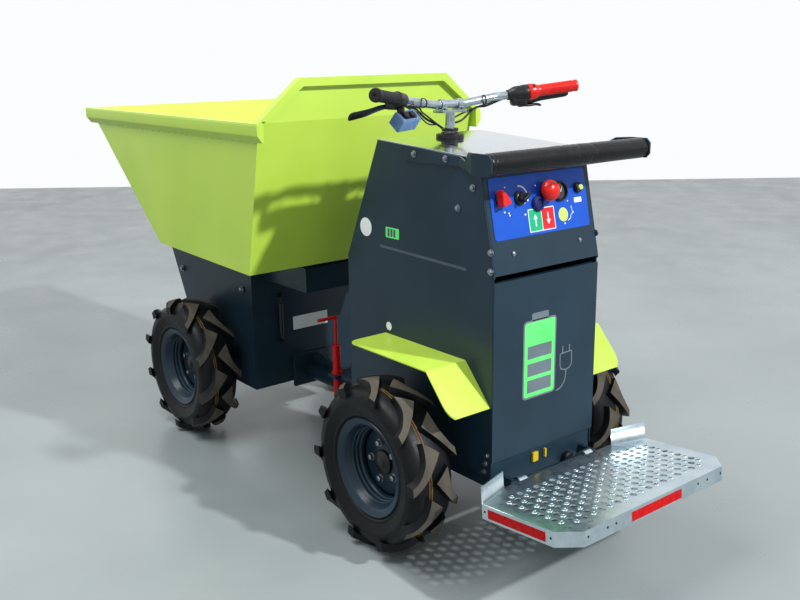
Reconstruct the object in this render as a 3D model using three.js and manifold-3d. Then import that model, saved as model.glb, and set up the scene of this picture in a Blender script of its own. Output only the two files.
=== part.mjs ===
// Articulated site dumper: a battery-electric rear unit with a stand-on platform, a front unit with a
// forward-tipping skip, and four driven wheels. Millimetres, +X forward, +Y left, +Z up.
// Lengths along X are measured from the articulation pin, and heights with the wheel centres at axleZ;
// the whole group is centred and set on its wheels at the end.
import * as THREE from 'three';
import { mergeVertices } from 'three/addons/utils/BufferGeometryUtils.js';
import Module from 'manifold-3d';

const wasm = await Module();
wasm.setup();

// ---- driving dimensions -------------------------------------------------------------------------
const GAP = 0.3;                 // between pieces that touch
const SHEET = 4;                 // cabinet sheet

const tyre = { radius: 250, width: 150, beadRadius: 127, facets: 36 };
const rim = { flangeRadius: 144, halfWidth: 58, wall: 6, discAt: -34, disc: 8, bore: 20.3 };
const trackHalf = 362;           // wheel centre plane from the middle of the machine
const rearAxleX = -587, frontAxleX = 587;
const axleZ = 250;               // the wheel centres, in the heights that the frame is given in
const axle = { tubeRadius: 32, boxRadius: 75, boxHalf: 75, hubRadius: 60, hub: 16, stubRadius: 20, stubEnd: -10 };

const cabinet = {
  rear: -865, front: -221, half: 204, bottom: 245, gapZ: 806,
  topRearX: -802, topRearZ: 1112, topFrontX: -381, topFrontZ: 1137, bendZ: 772,
};
const cover = { bottom: 292, slot: 12 };
const floorPlate = { z: 330, thickness: 8 };
const rail = { inner: 150, bottom: 215 };
const battery = { length: 470, half: 165, height: 300 };
const fender = {
  frontX: -405, bendX: -758, endX: -856, clearance: 63, drop: 111, half: 346, sheet: 4, corner: 32,
};
fender.topZ = axleZ + tyre.radius + fender.clearance;
fender.endZ = fender.topZ - fender.drop;
const pin = { radius: 15, clearance: 0.3, low: 118, high: 330 };
const boss = { radius: 38, low: 140, high: 300 };
const drawbarZ = 220;

const leanBar = { x: -923, z: 1112, radius: 30, half: 300, plate: 6, stripHeight: 48, stripFront: -514 };
const column = { x: -465, radius: 14, bearingRadius: 41, bearingHeight: 15, plateZ: 1204, plate: 8 };
const bar = { radius: 12, z: 1228, endX: -514, endY: 215, endZ: 1249, straightHalf: 60 };
const grip = { direction: [-68, 120, 16], start: 42, end: 196, radius: 16.5 };

const platform = {
  hingeX: -905, hingeZ: 235, tiltDeg: 5, top: 14, sheet: 4, skirt: 40,
  frontX: -20, shoulderX: -56, rearX: -352, half: 332, frontHalf: 222, chamfer: 51, kick: 48,
  barRadius: 10, lugRadius: 18, lugInner: 120, lugOuter: 150,
};

const frontFrame = { rear: 305, half: 252, plate: 8, bottom: 195, top: 685, wallTop: 684 };
const skipRest = { front: 304.7, rear: 30, half: 200, top: 684, depth: 84, sheet: 6 };
const skip = {
  lipX: 1199, rearTopX: -100, rimZ: 1178, rearBottomX: 1, rearBottomZ: 701, noseX: 640, noseZ: 714,
  half: 428, wall: 5, rimOut: 18, rimHeight: 37, headZ: 1306, headHalf: 289, headLip: 22, headBand: 26,
};
const tip = { x: 860, z: 660, pinRadius: 15, tubeRadius: 27, tubeHalf: 240 };
const cylinder = {
  footX: 430, footZ: 290, eyeX: 600, eyeZ: 690, pinRadius: 10, radius: 28, rodRadius: 13,
  footHalf: 33.5, eyeHalf: 21.5, lug: 10,
};

// ---- materials ----------------------------------------------------------------------------------
const paint = (name, color, roughness, metalness = 0) =>
  new THREE.MeshStandardMaterial({ name, color, roughness, metalness });
const LIME = paint('lime_paint', '#b4d233', 0.38);
const GREY = paint('grey_paint', '#26323b', 0.42);
const ZINC = paint('zinc_steel', '#b9bec2', 0.35, 0.9);
const PLATE = paint('polished_plate', '#8e969c', 0.2, 0.9);
const TYRE = paint('tyre_rubber', '#1d1d1d', 0.85);
const RUBBER = paint('black_rubber', '#141414', 0.7);
const PLASTIC = paint('black_plastic', '#191a1c', 0.5);
const RED = paint('red_plastic', '#d3201c', 0.4);
const BLUE_GREY = paint('switch_plastic', '#5c7f9e', 0.5);
const BATTERY = paint('battery_case', '#2c2e31', 0.6);

// ---- solid helpers ------------------------------------------------------------------------------
// A closed manifold from a three.js geometry: positions are snapped, merged, and turned outwards.
function solid(geometry) {
  const flat = geometry.clone();
  for (const extra of Object.keys(flat.attributes)) {
    if (extra !== 'position') flat.deleteAttribute(extra);
  }
  const place = flat.attributes.position;
  for (let i = 0; i < place.array.length; i += 1) place.array[i] = Math.round(place.array[i] * 1e4) / 1e4 + 0;
  const merged = mergeVertices(flat, 1e-3);
  const point = merged.attributes.position.array;
  const corners = [];
  let volume = 0;
  for (let i = 0; i < merged.index.count; i += 3) {
    const [a, b, c] = [merged.index.getX(i), merged.index.getX(i + 1), merged.index.getX(i + 2)];
    if (a === b || b === c || a === c) continue;
    corners.push(a, b, c);
    const [ax, ay, az] = point.slice(3 * a, 3 * a + 3);
    const [bx, by, bz] = point.slice(3 * b, 3 * b + 3);
    const [cx, cy, cz] = point.slice(3 * c, 3 * c + 3);
    volume += ax * (by * cz - bz * cy) + ay * (bz * cx - bx * cz) + az * (bx * cy - by * cx);
  }
  if (volume < 0) corners.reverse();
  const mesh = { numProp: 3, vertProperties: Float32Array.from(point), triVerts: Uint32Array.from(corners) };
  return new wasm.Manifold(new wasm.Mesh(mesh));
}

function outline(points) {
  return new THREE.Shape(points.map(([a, b]) => new THREE.Vector2(a, b)));
}

// A rounded outline: each corner is [a, b] or [a, b, radius].
function rounded(points, segments = 5) {
  const out = [];
  points.forEach(([x, y, radius = 0], i) => {
    if (!radius) { out.push([x, y]); return; }
    const corner = new THREE.Vector2(x, y);
    const before = new THREE.Vector2(...points[(i + points.length - 1) % points.length].slice(0, 2));
    const after = new THREE.Vector2(...points[(i + 1) % points.length].slice(0, 2));
    const toBefore = before.sub(corner).normalize();
    const toAfter = after.sub(corner).normalize();
    const half = Math.acos(toBefore.dot(toAfter)) / 2;
    const start = corner.clone().addScaledVector(toBefore, radius / Math.tan(half));
    const end = corner.clone().addScaledVector(toAfter, radius / Math.tan(half));
    const middle = toBefore.clone().add(toAfter).normalize();
    const centre = corner.clone().addScaledVector(middle, radius / Math.sin(half));
    const from = Math.atan2(start.y - centre.y, start.x - centre.x);
    let sweep = Math.atan2(end.y - centre.y, end.x - centre.x) - from;
    if (sweep > Math.PI) sweep -= 2 * Math.PI;
    if (sweep < -Math.PI) sweep += 2 * Math.PI;
    for (let k = 0; k <= segments; k += 1) {
      const turn = from + (sweep * k) / segments;
      out.push([centre.x + radius * Math.cos(turn), centre.y + radius * Math.sin(turn)]);
    }
  });
  return out;
}

function extrude(points, low, high) {
  const geometry = new THREE.ExtrudeGeometry(outline(points), { depth: high - low, bevelEnabled: false });
  return geometry.translate(0, 0, low);
}
const alongZ = (points, low, high) => solid(extrude(points, low, high));           // points are [x, y]
const alongY = (points, low, high) =>                                             // points are [x, z]
  solid(extrude(points, -high, -low).rotateX(Math.PI / 2));
const alongX = (points, low, high) => solid(extrude(points, low, high).applyMatrix4(  // points are [y, z]
  new THREE.Matrix4().makeBasis(new THREE.Vector3(0, 1, 0), new THREE.Vector3(0, 0, 1), new THREE.Vector3(1, 0, 0))));

function block(x0, x1, y0, y1, z0, z1) {
  const geometry = new THREE.BoxGeometry(x1 - x0, y1 - y0, z1 - z0);
  return solid(geometry.translate((x0 + x1) / 2, (y0 + y1) / 2, (z0 + z1) / 2));
}

// A turned solid about Y: profile points are [radius, y].
function turned(profile, segments = 24) {
  const points = profile.map(([r, y]) => new THREE.Vector2(r, y));
  const closed = profile[0][0] > 0 ? [...points, points[0]] : points;
  return new THREE.LatheGeometry(closed, segments);
}
const rodY = (x, z, radius, low, high, segments = 20) =>
  solid(turned([[0, low], [radius, low], [radius, high], [0, high]], segments).translate(x, 0, z));
const rodZ = (x, y, radius, low, high, segments = 20) =>
  solid(turned([[0, low], [radius, low], [radius, high], [0, high]], segments)
    .rotateX(Math.PI / 2).translate(x, y, 0));
const rodX = (y, z, radius, low, high, segments = 20) =>
  solid(turned([[0, low], [radius, low], [radius, high], [0, high]], segments)
    .rotateZ(-Math.PI / 2).translate(0, y, z));

// A round tube along a curve.
function tubeAlong(curve, radius, sides, steps) {
  const section = new THREE.Shape();
  for (let k = 0; k < sides; k += 1) {
    const turn = (2 * Math.PI * k) / sides;
    section[k ? 'lineTo' : 'moveTo'](radius * Math.cos(turn), radius * Math.sin(turn));
  }
  return solid(new THREE.ExtrudeGeometry(section, { extrudePath: curve, steps, bevelEnabled: false }));
}

const union = (first, ...others) => others.reduce((sum, next) => sum.add(next), first);
const mirrorY = (body) => body.mirror([0, 1, 0]);

function geometryOf(body) {
  const mesh = body.getMesh();
  const geometry = new THREE.BufferGeometry();
  geometry.setAttribute('position', new THREE.BufferAttribute(Float32Array.from(mesh.vertProperties), 3));
  geometry.setIndex(new THREE.BufferAttribute(Uint32Array.from(mesh.triVerts), 1));
  geometry.computeVertexNormals();
  return geometry;
}

function add(group, name, body, material) {
  const mesh = new THREE.Mesh(geometryOf(body), material);
  mesh.name = name;
  group.add(mesh);
  return mesh;
}

const machine = new THREE.Group();
const rearUnit = new THREE.Group();
const frontUnit = new THREE.Group();
machine.add(rearUnit, frontUnit);

// ---- wheels and axles ---------------------------------------------------------------------------
function wheelRim() {
  const { flangeRadius, halfWidth, wall, discAt, disc, bore } = rim;
  const seat = tyre.beadRadius, inner = seat - wall, lip = halfWidth - 5;
  return solid(turned([
    [bore, discAt], [inner, discAt], [inner, -halfWidth], [flangeRadius, -halfWidth], [flangeRadius, -lip],
    [seat, -lip], [seat, lip], [flangeRadius, lip], [flangeRadius, halfWidth], [inner, halfWidth],
    [inner, discAt + disc], [bore, discAt + disc],
  ], tyre.facets));
}

function tyreBody() {
  const { width, beadRadius, facets } = tyre;
  const radius = tyre.radius / Math.cos(Math.PI / facets);       // so that the flats reach the true radius
  const w = width / 2, seat = beadRadius + GAP, bead = rim.halfWidth - 5 - GAP, flange = rim.flangeRadius + 1;
  const half = [[seat, bead], [flange, bead], [flange + 8, w - 12], [radius * 0.76, w], [radius * 0.9, w - 3],
    [radius - 7, w - 14], [radius, w - 30]];
  return solid(turned([...half, ...half.slice().reverse().map(([r, y]) => [r, -y])], facets));
}

function axleBody() {
  const { tubeRadius, boxRadius, boxHalf, hubRadius, hub, stubRadius, stubEnd } = axle;
  const face = trackHalf + rim.discAt - GAP;
  const half = [[0, trackHalf + stubEnd], [stubRadius, trackHalf + stubEnd], [stubRadius, face], [hubRadius, face],
    [hubRadius, face - hub], [tubeRadius, face - hub], [tubeRadius, boxHalf], [boxRadius, boxHalf - 25]];
  return solid(turned([...half.slice().reverse().map(([r, y]) => [r, -y]).reverse(), ...half.slice().reverse()], 28));
}

function addAxle(group, name, x) {
  add(group, `${name}_axle`, axleBody(), GREY).position.set(x, 0, axleZ);
  for (const [side, sign] of [['left', 1], ['right', -1]]) {
    const wheel = new THREE.Group();
    wheel.position.set(x, sign * trackHalf, axleZ);
    wheel.rotation.set(0, Math.PI / tyre.facets, sign > 0 ? 0 : Math.PI);   // a flat rests on the ground
    add(wheel, `${name}_${side}_tyre`, tyreBody(), TYRE);
    add(wheel, `${name}_${side}_rim`, wheelRim(), GREY);
    group.add(wheel);
  }
}
addAxle(rearUnit, 'rear', rearAxleX);
addAxle(frontUnit, 'front', frontAxleX);

// ---- rear unit: chassis, cabinet, fenders -------------------------------------------------------
function rearChassis() {
  const inside = cabinet.half - SHEET - GAP;
  const back = cabinet.rear + 8, nose = cabinet.front - SHEET - 4;
  const { z, thickness } = floorPlate;
  const notch = axle.boxRadius + 5;
  const side = union(
    block(back, rearAxleX - notch, rail.inner, inside, rail.bottom, z + 1),
    block(rearAxleX + notch, nose, rail.inner, inside, rail.bottom, z + 1),
    block(rearAxleX - 30, rearAxleX + 30, 95, 140, axleZ + axle.tubeRadius + GAP, z + 1),
  );
  const tongue = { half: 55, front: -boss.radius - 8 };
  const ear = rounded([[-120, -40], [40, -40, 38], [40, 40, 38], [-120, 40]], 6);
  const body = union(
    block(back, nose, -inside, inside, z, z + thickness),
    side, mirrorY(side),
    block(back, back + 8, -inside, inside, rail.bottom, z + 1),
    block(nose - 8, nose, -inside, inside, boss.low, z + 1),
    block(nose - 1, tongue.front, -tongue.half, tongue.half, boss.low - 16, boss.high + 16),
    alongZ(ear, boss.high, boss.high + 16),
    alongZ(ear, boss.low - 16, boss.low),
    block(-40, 4, tongue.half - 20, 142, boss.high, boss.high + 12),
    block(-120, -40, tongue.half - 20, 120, boss.high, boss.high + 12),
  );
  const bore = rodZ(0, 0, pin.radius + pin.clearance, 0, 400);
  const lockBore = rodZ(lock.x, lock.y, lock.radius + GAP, 0, 400, 16);
  return body.subtract(bore).subtract(lockBore);
}

const lock = { x: -18, y: 120, radius: 14, low: 244, high: 416, rod: 6, top: 513, handle: 70 };
function articulationLock() {
  const collar = rodZ(lock.x, lock.y, lock.radius + 4, boss.high + 12 + GAP, boss.high + 24, 16);
  return union(
    rodZ(lock.x, lock.y, lock.radius, lock.low, lock.high, 16), collar,
    rodZ(lock.x, lock.y, lock.rod, lock.high - 1, lock.top + lock.rod, 12),
    rodY(lock.x, lock.top, lock.rod, lock.y - lock.rod, lock.y + lock.handle, 12),
  );
}

function cabinetSide() {
  const c = cabinet, dropped = SHEET + GAP;
  const arch = axle.hubRadius + 45, archZ = axleZ + axle.tubeRadius + 25;
  const step = c.rear + SHEET + GAP;
  return alongY([
    [step, c.bottom], [rearAxleX - arch, c.bottom], [rearAxleX - arch + 30, archZ],
    [rearAxleX + arch - 30, archZ], [rearAxleX + arch, c.bottom], [c.front, c.bottom],
    [c.front, c.bendZ], [c.topFrontX, c.topFrontZ - dropped], [c.topRearX, c.topRearZ - dropped],
    [c.rear, c.gapZ + 6], [c.rear, c.gapZ], [step, c.gapZ],
  ], c.half - SHEET, c.half);
}

function cabinetFront() {
  const c = cabinet, t = SHEET, half = c.half - SHEET - GAP, drop = t + GAP + 1;
  const lean = (c.front - c.topFrontX) / (c.topFrontZ - c.bendZ);
  const topX = c.topFrontX + drop * lean, low = floorPlate.z + floorPlate.thickness;
  return alongY([
    [c.front, low], [c.front, c.bendZ], [topX, c.topFrontZ - drop], [topX - t * 1.1, c.topFrontZ - drop],
    [c.front - t, c.bendZ - 1], [c.front - t, low],
  ], -half, half);
}

function cabinetTop() {
  const c = cabinet, over = 3;
  return alongY([
    [c.topRearX - over, c.topRearZ - SHEET], [c.topFrontX + over, c.topFrontZ - SHEET],
    [c.topFrontX + over, c.topFrontZ], [c.topRearX - over, c.topRearZ],
  ], -c.half, c.half);
}

// The sloping control face; its outer surface runs from the cover gap to the top plate.
const facing = new THREE.Vector2(cabinet.topRearX - cabinet.rear, cabinet.topRearZ - cabinet.gapZ - 6).normalize();
function controlPanel() {
  const c = cabinet, half = c.half - SHEET - GAP;
  const low = new THREE.Vector2(c.rear, c.gapZ + 6);
  const length = (c.topRearZ - low.y) / facing.y - SHEET - 2;
  const high = low.clone().addScaledVector(facing, length);
  const t = SHEET;
  return alongY([
    [low.x, low.y], [high.x, high.y], [high.x + t * facing.y, high.y - t * facing.x],
    [low.x + t * facing.y + 18, low.y + 4 - t * facing.x], [low.x + t * facing.y + 18, low.y],
  ], -half, half);
}

function fenderBody() {
  const f = fender, t = f.sheet, inner = cabinet.half + GAP;
  const slope = Math.atan2(f.topZ - f.endZ, f.bendX - f.endX);
  const dx = t * Math.sin(slope), dz = t * Math.cos(slope);
  const sheet = alongY([
    [f.frontX, f.topZ], [f.bendX, f.topZ], [f.endX, f.endZ], [f.endX + dx, f.endZ - dz],
    [f.bendX + dx * 0.5, f.topZ - t], [f.frontX, f.topZ - t],
  ], inner, f.half);
  const plan = rounded([[f.endX, inner], [f.frontX, inner], [f.frontX, f.half, f.corner],
    [f.endX, f.half, f.corner]], 6);
  return sheet.intersect(alongZ(plan, 0, 1000));
}

function batteryBlock() {
  const middle = (cabinet.rear + cabinet.front) / 2, low = floorPlate.z + floorPlate.thickness + GAP;
  const { length, half, height } = battery;
  return block(middle - length / 2, middle + length / 2, -half, half, low, low + height);
}

function leanArm() {
  const b = leanBar, face = cabinet.half + GAP, t = b.plate;
  const out = b.half + t / 2, tail = b.x - 28, bend = cabinet.topRearX + 62, elbow = b.x + 41;
  const plan = [[b.stripFront, face], [bend, face], [elbow, out - t], [tail, out - t], [tail, out],
    [elbow + 2, out], [bend + 2, face + t], [b.stripFront, face + t]];
  const profile = [
    [b.stripFront, b.z - 29], [b.stripFront, b.z - 29 + b.stripHeight], [elbow + 32, b.z + 25],
    [elbow - 8, b.z + 27], [tail + 12, b.z + 27], [tail, b.z + 15], [tail, b.z - 15], [tail + 12, b.z - 27],
    [elbow - 8, b.z - 27], [elbow + 32, b.z - 24],
  ];
  return alongZ(plan, b.z - 80, b.z + 80).intersect(alongY(profile, 0, 400));
}

function platformBracket() {
  const p = platform, wall = cabinet.rear + 8 - GAP;
  const lug = block(p.hingeX, wall, p.lugOuter + 6, p.lugOuter + 18, p.hingeZ - 14, p.hingeZ + 14);
  const bar1 = rodY(p.hingeX, p.hingeZ, p.barRadius, -p.lugOuter - 24, p.lugOuter + 24);
  return union(bar1, lug, mirrorY(lug));
}

add(rearUnit, 'rear_chassis', rearChassis(), GREY);
add(rearUnit, 'cabinet_left_side', cabinetSide(), GREY);
add(rearUnit, 'cabinet_right_side', mirrorY(cabinetSide()), GREY);
add(rearUnit, 'cabinet_front_panel', cabinetFront(), GREY);
add(rearUnit, 'cabinet_top_plate', cabinetTop(), PLATE);
add(rearUnit, 'control_panel', controlPanel(), GREY);
add(rearUnit, 'battery_cover',
  block(cabinet.rear, cabinet.rear + SHEET, -cabinet.half, cabinet.half, cover.bottom, cabinet.gapZ - cover.slot), GREY);
add(rearUnit, 'battery_block', batteryBlock(), BATTERY);
add(rearUnit, 'left_fender', fenderBody(), LIME);
add(rearUnit, 'right_fender', mirrorY(fenderBody()), LIME);
add(rearUnit, 'lean_bar_left_arm', leanArm(), GREY);
add(rearUnit, 'lean_bar_right_arm', mirrorY(leanArm()), GREY);
const padHalf = leanBar.half - leanBar.plate / 2 - GAP;
add(rearUnit, 'lean_bar_pad', rodY(leanBar.x, leanBar.z, leanBar.radius, -padHalf, padHalf, 24), RUBBER);
add(rearUnit, 'platform_bracket', platformBracket(), GREY);
add(rearUnit, 'articulation_lock', articulationLock(), RED);
add(rearUnit, 'articulation_pin', union(
  rodZ(0, 0, pin.radius, pin.low, pin.high), rodZ(0, 0, pin.radius + 8, boss.high + 16 + GAP, pin.high)), ZINC);

// Controls on the sloping face: each stands on the surface, at a distance up the slope.
function onPanel(name, body, material, y, up) {
  const mesh = add(rearUnit, name, body, material);
  const out = new THREE.Vector3(-facing.y, 0, facing.x);
  mesh.quaternion.setFromUnitVectors(new THREE.Vector3(0, 1, 0), out);
  mesh.position.set(cabinet.rear + facing.x * up, y, cabinet.gapZ + 6 + facing.y * up).addScaledVector(out, GAP);
}
const stopButton = solid(turned([[0, 0], [19, 0], [19, 12], [12, 12], [12, 20], [30, 22], [31, 28], [26, 35],
  [14, 39], [0, 40]], 28));
onPanel('emergency_stop', stopButton, RED, -25, 200);
onPanel('isolator_key', union(
  solid(turned([[0, 0], [17, 0], [17, 8], [0, 8]])), block(-16, 16, 7, 34, -4, 4)), RED, 152, 197);

// ---- steering -----------------------------------------------------------------------------------
const topSlope = (cabinet.topFrontZ - cabinet.topRearZ) / (cabinet.topFrontX - cabinet.topRearX);
const topAt = (x) => cabinet.topRearZ + (x - cabinet.topRearX) * topSlope;
const seatZ = topAt(column.x);

function columnBearing() {
  const c = column, low = seatZ - 10, high = seatZ + c.bearingHeight;
  const ring = solid(turned([[c.radius + GAP, low], [c.bearingRadius, low], [c.bearingRadius, seatZ + 10],
    [c.bearingRadius - 13, seatZ + 12], [c.bearingRadius - 15, high], [c.radius + GAP, high]])
    .rotateX(Math.PI / 2).translate(c.x, 0, 0));
  const reach = 80;
  const under = alongY([
    [c.x - reach, seatZ - 60], [c.x + reach, seatZ - 60],
    [c.x + reach, topAt(c.x + reach) + GAP], [c.x - reach, topAt(c.x - reach) + GAP]], -reach, reach);
  return ring.subtract(under);
}
add(rearUnit, 'column_bearing', columnBearing(), ZINC);

const steering = new THREE.Group();
rearUnit.add(steering);

function steeringColumn() {
  const c = column, low = topAt(c.x + c.radius) + 1;
  const body = union(
    rodZ(c.x, 0, c.radius, low, c.plateZ + 2),
    block(c.x - 26, c.x + 26, -48, 48, c.plateZ, c.plateZ + c.plate),
    block(c.x - 18, c.x + 18, -36, 36, c.plateZ + c.plate - 1, bar.z + 8),
  );
  return body.subtract(rodY(c.x, bar.z, bar.radius + GAP, -60, 60)).subtract(
    block(c.x - bar.radius, c.x + bar.radius, -60, 60, bar.z, bar.z + 40));
}
add(steering, 'steering_column', steeringColumn(), ZINC);

const gripWay = new THREE.Vector3(...grip.direction).normalize();
function handlebarCurve() {
  const end = new THREE.Vector3(bar.endX, bar.endY, bar.endZ);
  const right = [
    new THREE.Vector3(column.x, 0, bar.z), new THREE.Vector3(column.x, bar.straightHalf * 0.6, bar.z),
    new THREE.Vector3(column.x, bar.straightHalf, bar.z),
    end.clone().addScaledVector(gripWay, -70), end.clone().addScaledVector(gripWay, -35), end];
  const left = right.slice(1).reverse().map((p) => new THREE.Vector3(p.x, -p.y, p.z));
  return new THREE.CatmullRomCurve3([...left, ...right], false, 'centripetal');
}
add(steering, 'handlebar_tube', tubeAlong(handlebarCurve(), bar.radius, 12, 24), ZINC);

// Each end of the bar carries its clamp, then its grip, in a frame whose Y runs out along the bar.
function barEnd(sign) {
  const group = new THREE.Group();
  group.position.set(bar.endX, sign * bar.endY, bar.endZ);
  group.quaternion.setFromUnitVectors(
    new THREE.Vector3(0, sign, 0), new THREE.Vector3(gripWay.x, sign * gripWay.y, gripWay.z));
  steering.add(group);
  return group;
}
const along = (profile, segments) => solid(turned(profile, segments));
// A flat lever blade from the clamp to its tip, both [x, y, z].
function blade(from, to, width, thickness) {
  const start = new THREE.Vector3(...from), end = new THREE.Vector3(...to);
  const length = start.distanceTo(end);
  const geometry = extrude(rounded([[-width / 2, 0], [width / 2, 0], [width * 0.4, length, 6],
    [-width * 0.4, length, 6]], 3), -thickness / 2, thickness / 2);
  const turn = new THREE.Quaternion().setFromUnitVectors(new THREE.Vector3(0, 1, 0), end.sub(start).normalize());
  return solid(geometry.applyQuaternion(turn).translate(...from));
}

const leftEnd = barEnd(1), rightEnd = barEnd(-1);
const g = grip;
const leverFoot = 28;
add(leftEnd, 'left_lever', union(
  along([[0, GAP], [19, GAP], [19, g.start - GAP], [0, g.start - GAP]]),
  block(10, 46, 6, leverFoot, -26, -6), blade([42, 12, -18], [86, 158, -58], 26, 8)), PLASTIC);
add(leftEnd, 'left_grip', along([[0, g.start], [20, g.start], [20, g.start + 5], [g.radius, g.start + 6],
  [g.radius, g.end - 8], [g.radius + 1, g.end - 4], [g.radius - 3, g.end], [0, g.end]]), RUBBER);
add(rightEnd, 'throttle_housing', mirrorY(
  along([[0, GAP], [19, GAP], [23, 8], [23, g.start - GAP], [0, g.start - GAP]])), PLASTIC);
add(rightEnd, 'throttle_grip', mirrorY(along([[0, g.start], [24, g.start], [22, g.start + 18],
  [g.radius + 1, g.start + 30], [g.radius, g.end - 8], [g.radius + 1, g.end - 4], [g.radius - 3, g.end],
  [0, g.end]])), RED);
const leverSeat = -23 - GAP;
add(rightEnd, 'right_lever', mirrorY(union(
  block(-14, 20, 8, 34, leverSeat - 16, leverSeat), blade([16, 16, leverSeat - 9], [34, 160, leverSeat - 18], 22, 8))),
  PLASTIC);
// The switch box hangs under the left clamp, turned towards the driver.
const switchBox = { length: 52, width: 66, height: 40, drop: 52, turn: 24, tilt: -14 };
function switchBoxBody() {
  const s = switchBox;
  const geometry = new THREE.BoxGeometry(s.length, s.width, s.height);
  geometry.rotateY(THREE.MathUtils.degToRad(s.tilt)).rotateZ(THREE.MathUtils.degToRad(s.turn));
  return union(solid(geometry.translate(-14, 8, -s.drop)), rodZ(0, 14, 8, -s.drop, -19 - GAP, 12));
}
add(leftEnd, 'switch_box', switchBoxBody(), BLUE_GREY);

// Control cables run from the clamps to a collar that turns with the column.
const collar = { radius: 24, height: 9, lift: 3 };
function controlCables() {
  const low = seatZ + column.bearingHeight + collar.lift;
  const ring = solid(turned([[column.radius + GAP, low], [collar.radius, low], [collar.radius, low + collar.height],
    [column.radius + GAP, low + collar.height]]).rotateX(Math.PI / 2).translate(column.x, 0, 0));
  const foot = low + collar.height / 2;
  const route = (sign, side, drop) => new THREE.CatmullRomCurve3([
    new THREE.Vector3(column.x + 20, side * 0.82, foot), new THREE.Vector3(column.x + 34 + drop, side * 1.6, foot + 22),
    new THREE.Vector3(column.x + 40 + drop, side + sign * 50, foot + 48),
    new THREE.Vector3(column.x + 16, side + sign * 96, bar.z - 20),
    new THREE.Vector3(column.x - 4, side + sign * 126, bar.z - 14)], false, 'centripetal');
  return union(ring, tubeAlong(route(1, 9, 0), 3, 8, 12), tubeAlong(route(-1, -9, 0), 3, 8, 12));
}
add(steering, 'control_cables', controlCables(), RUBBER);

// ---- stand-on platform --------------------------------------------------------------------------
const foldDeck = new THREE.Group();
foldDeck.position.set(platform.hingeX, 0, platform.hingeZ);
foldDeck.rotation.y = THREE.MathUtils.degToRad(platform.tiltDeg);
rearUnit.add(foldDeck);

function platformDeck() {
  const p = platform, t = p.sheet, low = p.top - p.skirt;
  const plan = (inset) => {
    const half = p.half - inset, rear = p.rearX + inset, cut = p.chamfer - inset * 0.4;
    return [[p.frontX - inset, -p.frontHalf], [p.frontX - inset, p.frontHalf], [p.shoulderX - inset * 0.6, half],
      [rear + cut, half], [rear, half - cut], [rear, cut - half], [rear + cut, -half],
      [p.shoulderX - inset * 0.6, -half]];
  };
  const way = new THREE.Vector2(p.shoulderX - p.frontX, p.half - p.frontHalf).normalize();
  const kick = alongZ([
    [p.frontX, p.frontHalf], [p.shoulderX, p.half],
    [p.shoulderX - t * way.y, p.half + t * way.x], [p.frontX - t * way.y, p.frontHalf + t * way.x],
  ], p.top - 1, p.top + p.kick);
  const lug = union(
    rodY(0, 0, p.lugRadius, p.lugInner, p.lugOuter), block(p.frontX - 2, 0, p.lugInner, p.lugOuter, -12, 10));
  const bore = rodY(0, 0, p.barRadius + GAP, -200, 200);
  const pan = alongZ(plan(0), low, p.top).subtract(alongZ(plan(t), low - 1, p.top - t));
  return union(pan, kick, mirrorY(kick), lug, mirrorY(lug)).subtract(bore);
}
add(foldDeck, 'platform_deck', platformDeck(), ZINC);

// ---- front unit: an open-topped box frame on its axle, with the drawbar ---------------------------
const inner = frontFrame.half - frontFrame.plate;
const nose = [[712, 300], [826, 442], [913, 612], [955, frontFrame.top]];

function frontSide() {
  const f = frontFrame, axleTop = axleZ + axle.tubeRadius + GAP;
  const plate = alongY([
    [f.rear, f.bottom], [frontAxleX - 90, f.bottom], [frontAxleX - 45, axleTop], [frontAxleX + 45, axleTop],
    ...nose, [f.rear, f.top]], inner, f.half);
  return union(plate, rodY(tip.x, tip.z, tip.tubeRadius + 4, inner + 1, f.half + 4),
    rodY(tip.x, tip.z, tip.pinRadius, inner - 40, inner + 1));
}

function nosePlate() {
  const t = 6, half = inner - GAP, slide = ([x, z]) => [x - 9, z + 2], inside = ([x, z]) => [x - 9 - t, z + 2 + t * 0.4];
  const run = nose.slice(0, 3);
  return alongY([...run.map(slide), ...run.map(inside).reverse()], -half, half);
}

function frontFloor() {
  const f = frontFrame, half = inner - GAP, c = cylinder;
  const floor = block(f.rear + 8 + GAP, frontAxleX - 95, -half, half, f.bottom, f.bottom + 8);
  const lug = alongY([[c.footX - 32, f.bottom + 7], [c.footX + 32, f.bottom + 7], [c.footX + 16, c.footZ + 22],
    [c.footX - 16, c.footZ + 22]], c.footHalf + 0.5, c.footHalf + 0.5 + c.lug);
  return union(floor, lug, mirrorY(lug), rodY(c.footX, c.footZ, c.pinRadius, -c.footHalf - 4, c.footHalf + 4));
}

function drawbar() {
  const f = frontFrame, b = boss;
  const body = union(
    rodZ(0, 0, b.radius, b.low + 1, b.high - 1, 28), rodX(0, drawbarZ, b.radius - 2, 0, f.rear - 10, 28),
    block(f.rear - 12, f.rear - GAP, -95, 95, f.bottom - 20, drawbarZ + 75),
    alongY([[b.radius - 6, drawbarZ + 30], [f.rear - 11, drawbarZ + 30], [f.rear - 11, drawbarZ + 72]], -6, 6),
  );
  return body.subtract(rodZ(0, 0, pin.radius + pin.clearance, 0, 400));
}

add(frontUnit, 'front_left_side', frontSide(), GREY);
add(frontUnit, 'front_right_side', mirrorY(frontSide()), GREY);
add(frontUnit, 'front_rear_wall', block(frontFrame.rear, frontFrame.rear + 8, -inner + GAP, inner - GAP,
  frontFrame.bottom, frontFrame.wallTop), GREY);
add(frontUnit, 'front_nose_plate', nosePlate(), GREY);
add(frontUnit, 'front_floor', frontFloor(), GREY);
add(frontUnit, 'drawbar', drawbar(), GREY);

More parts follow.
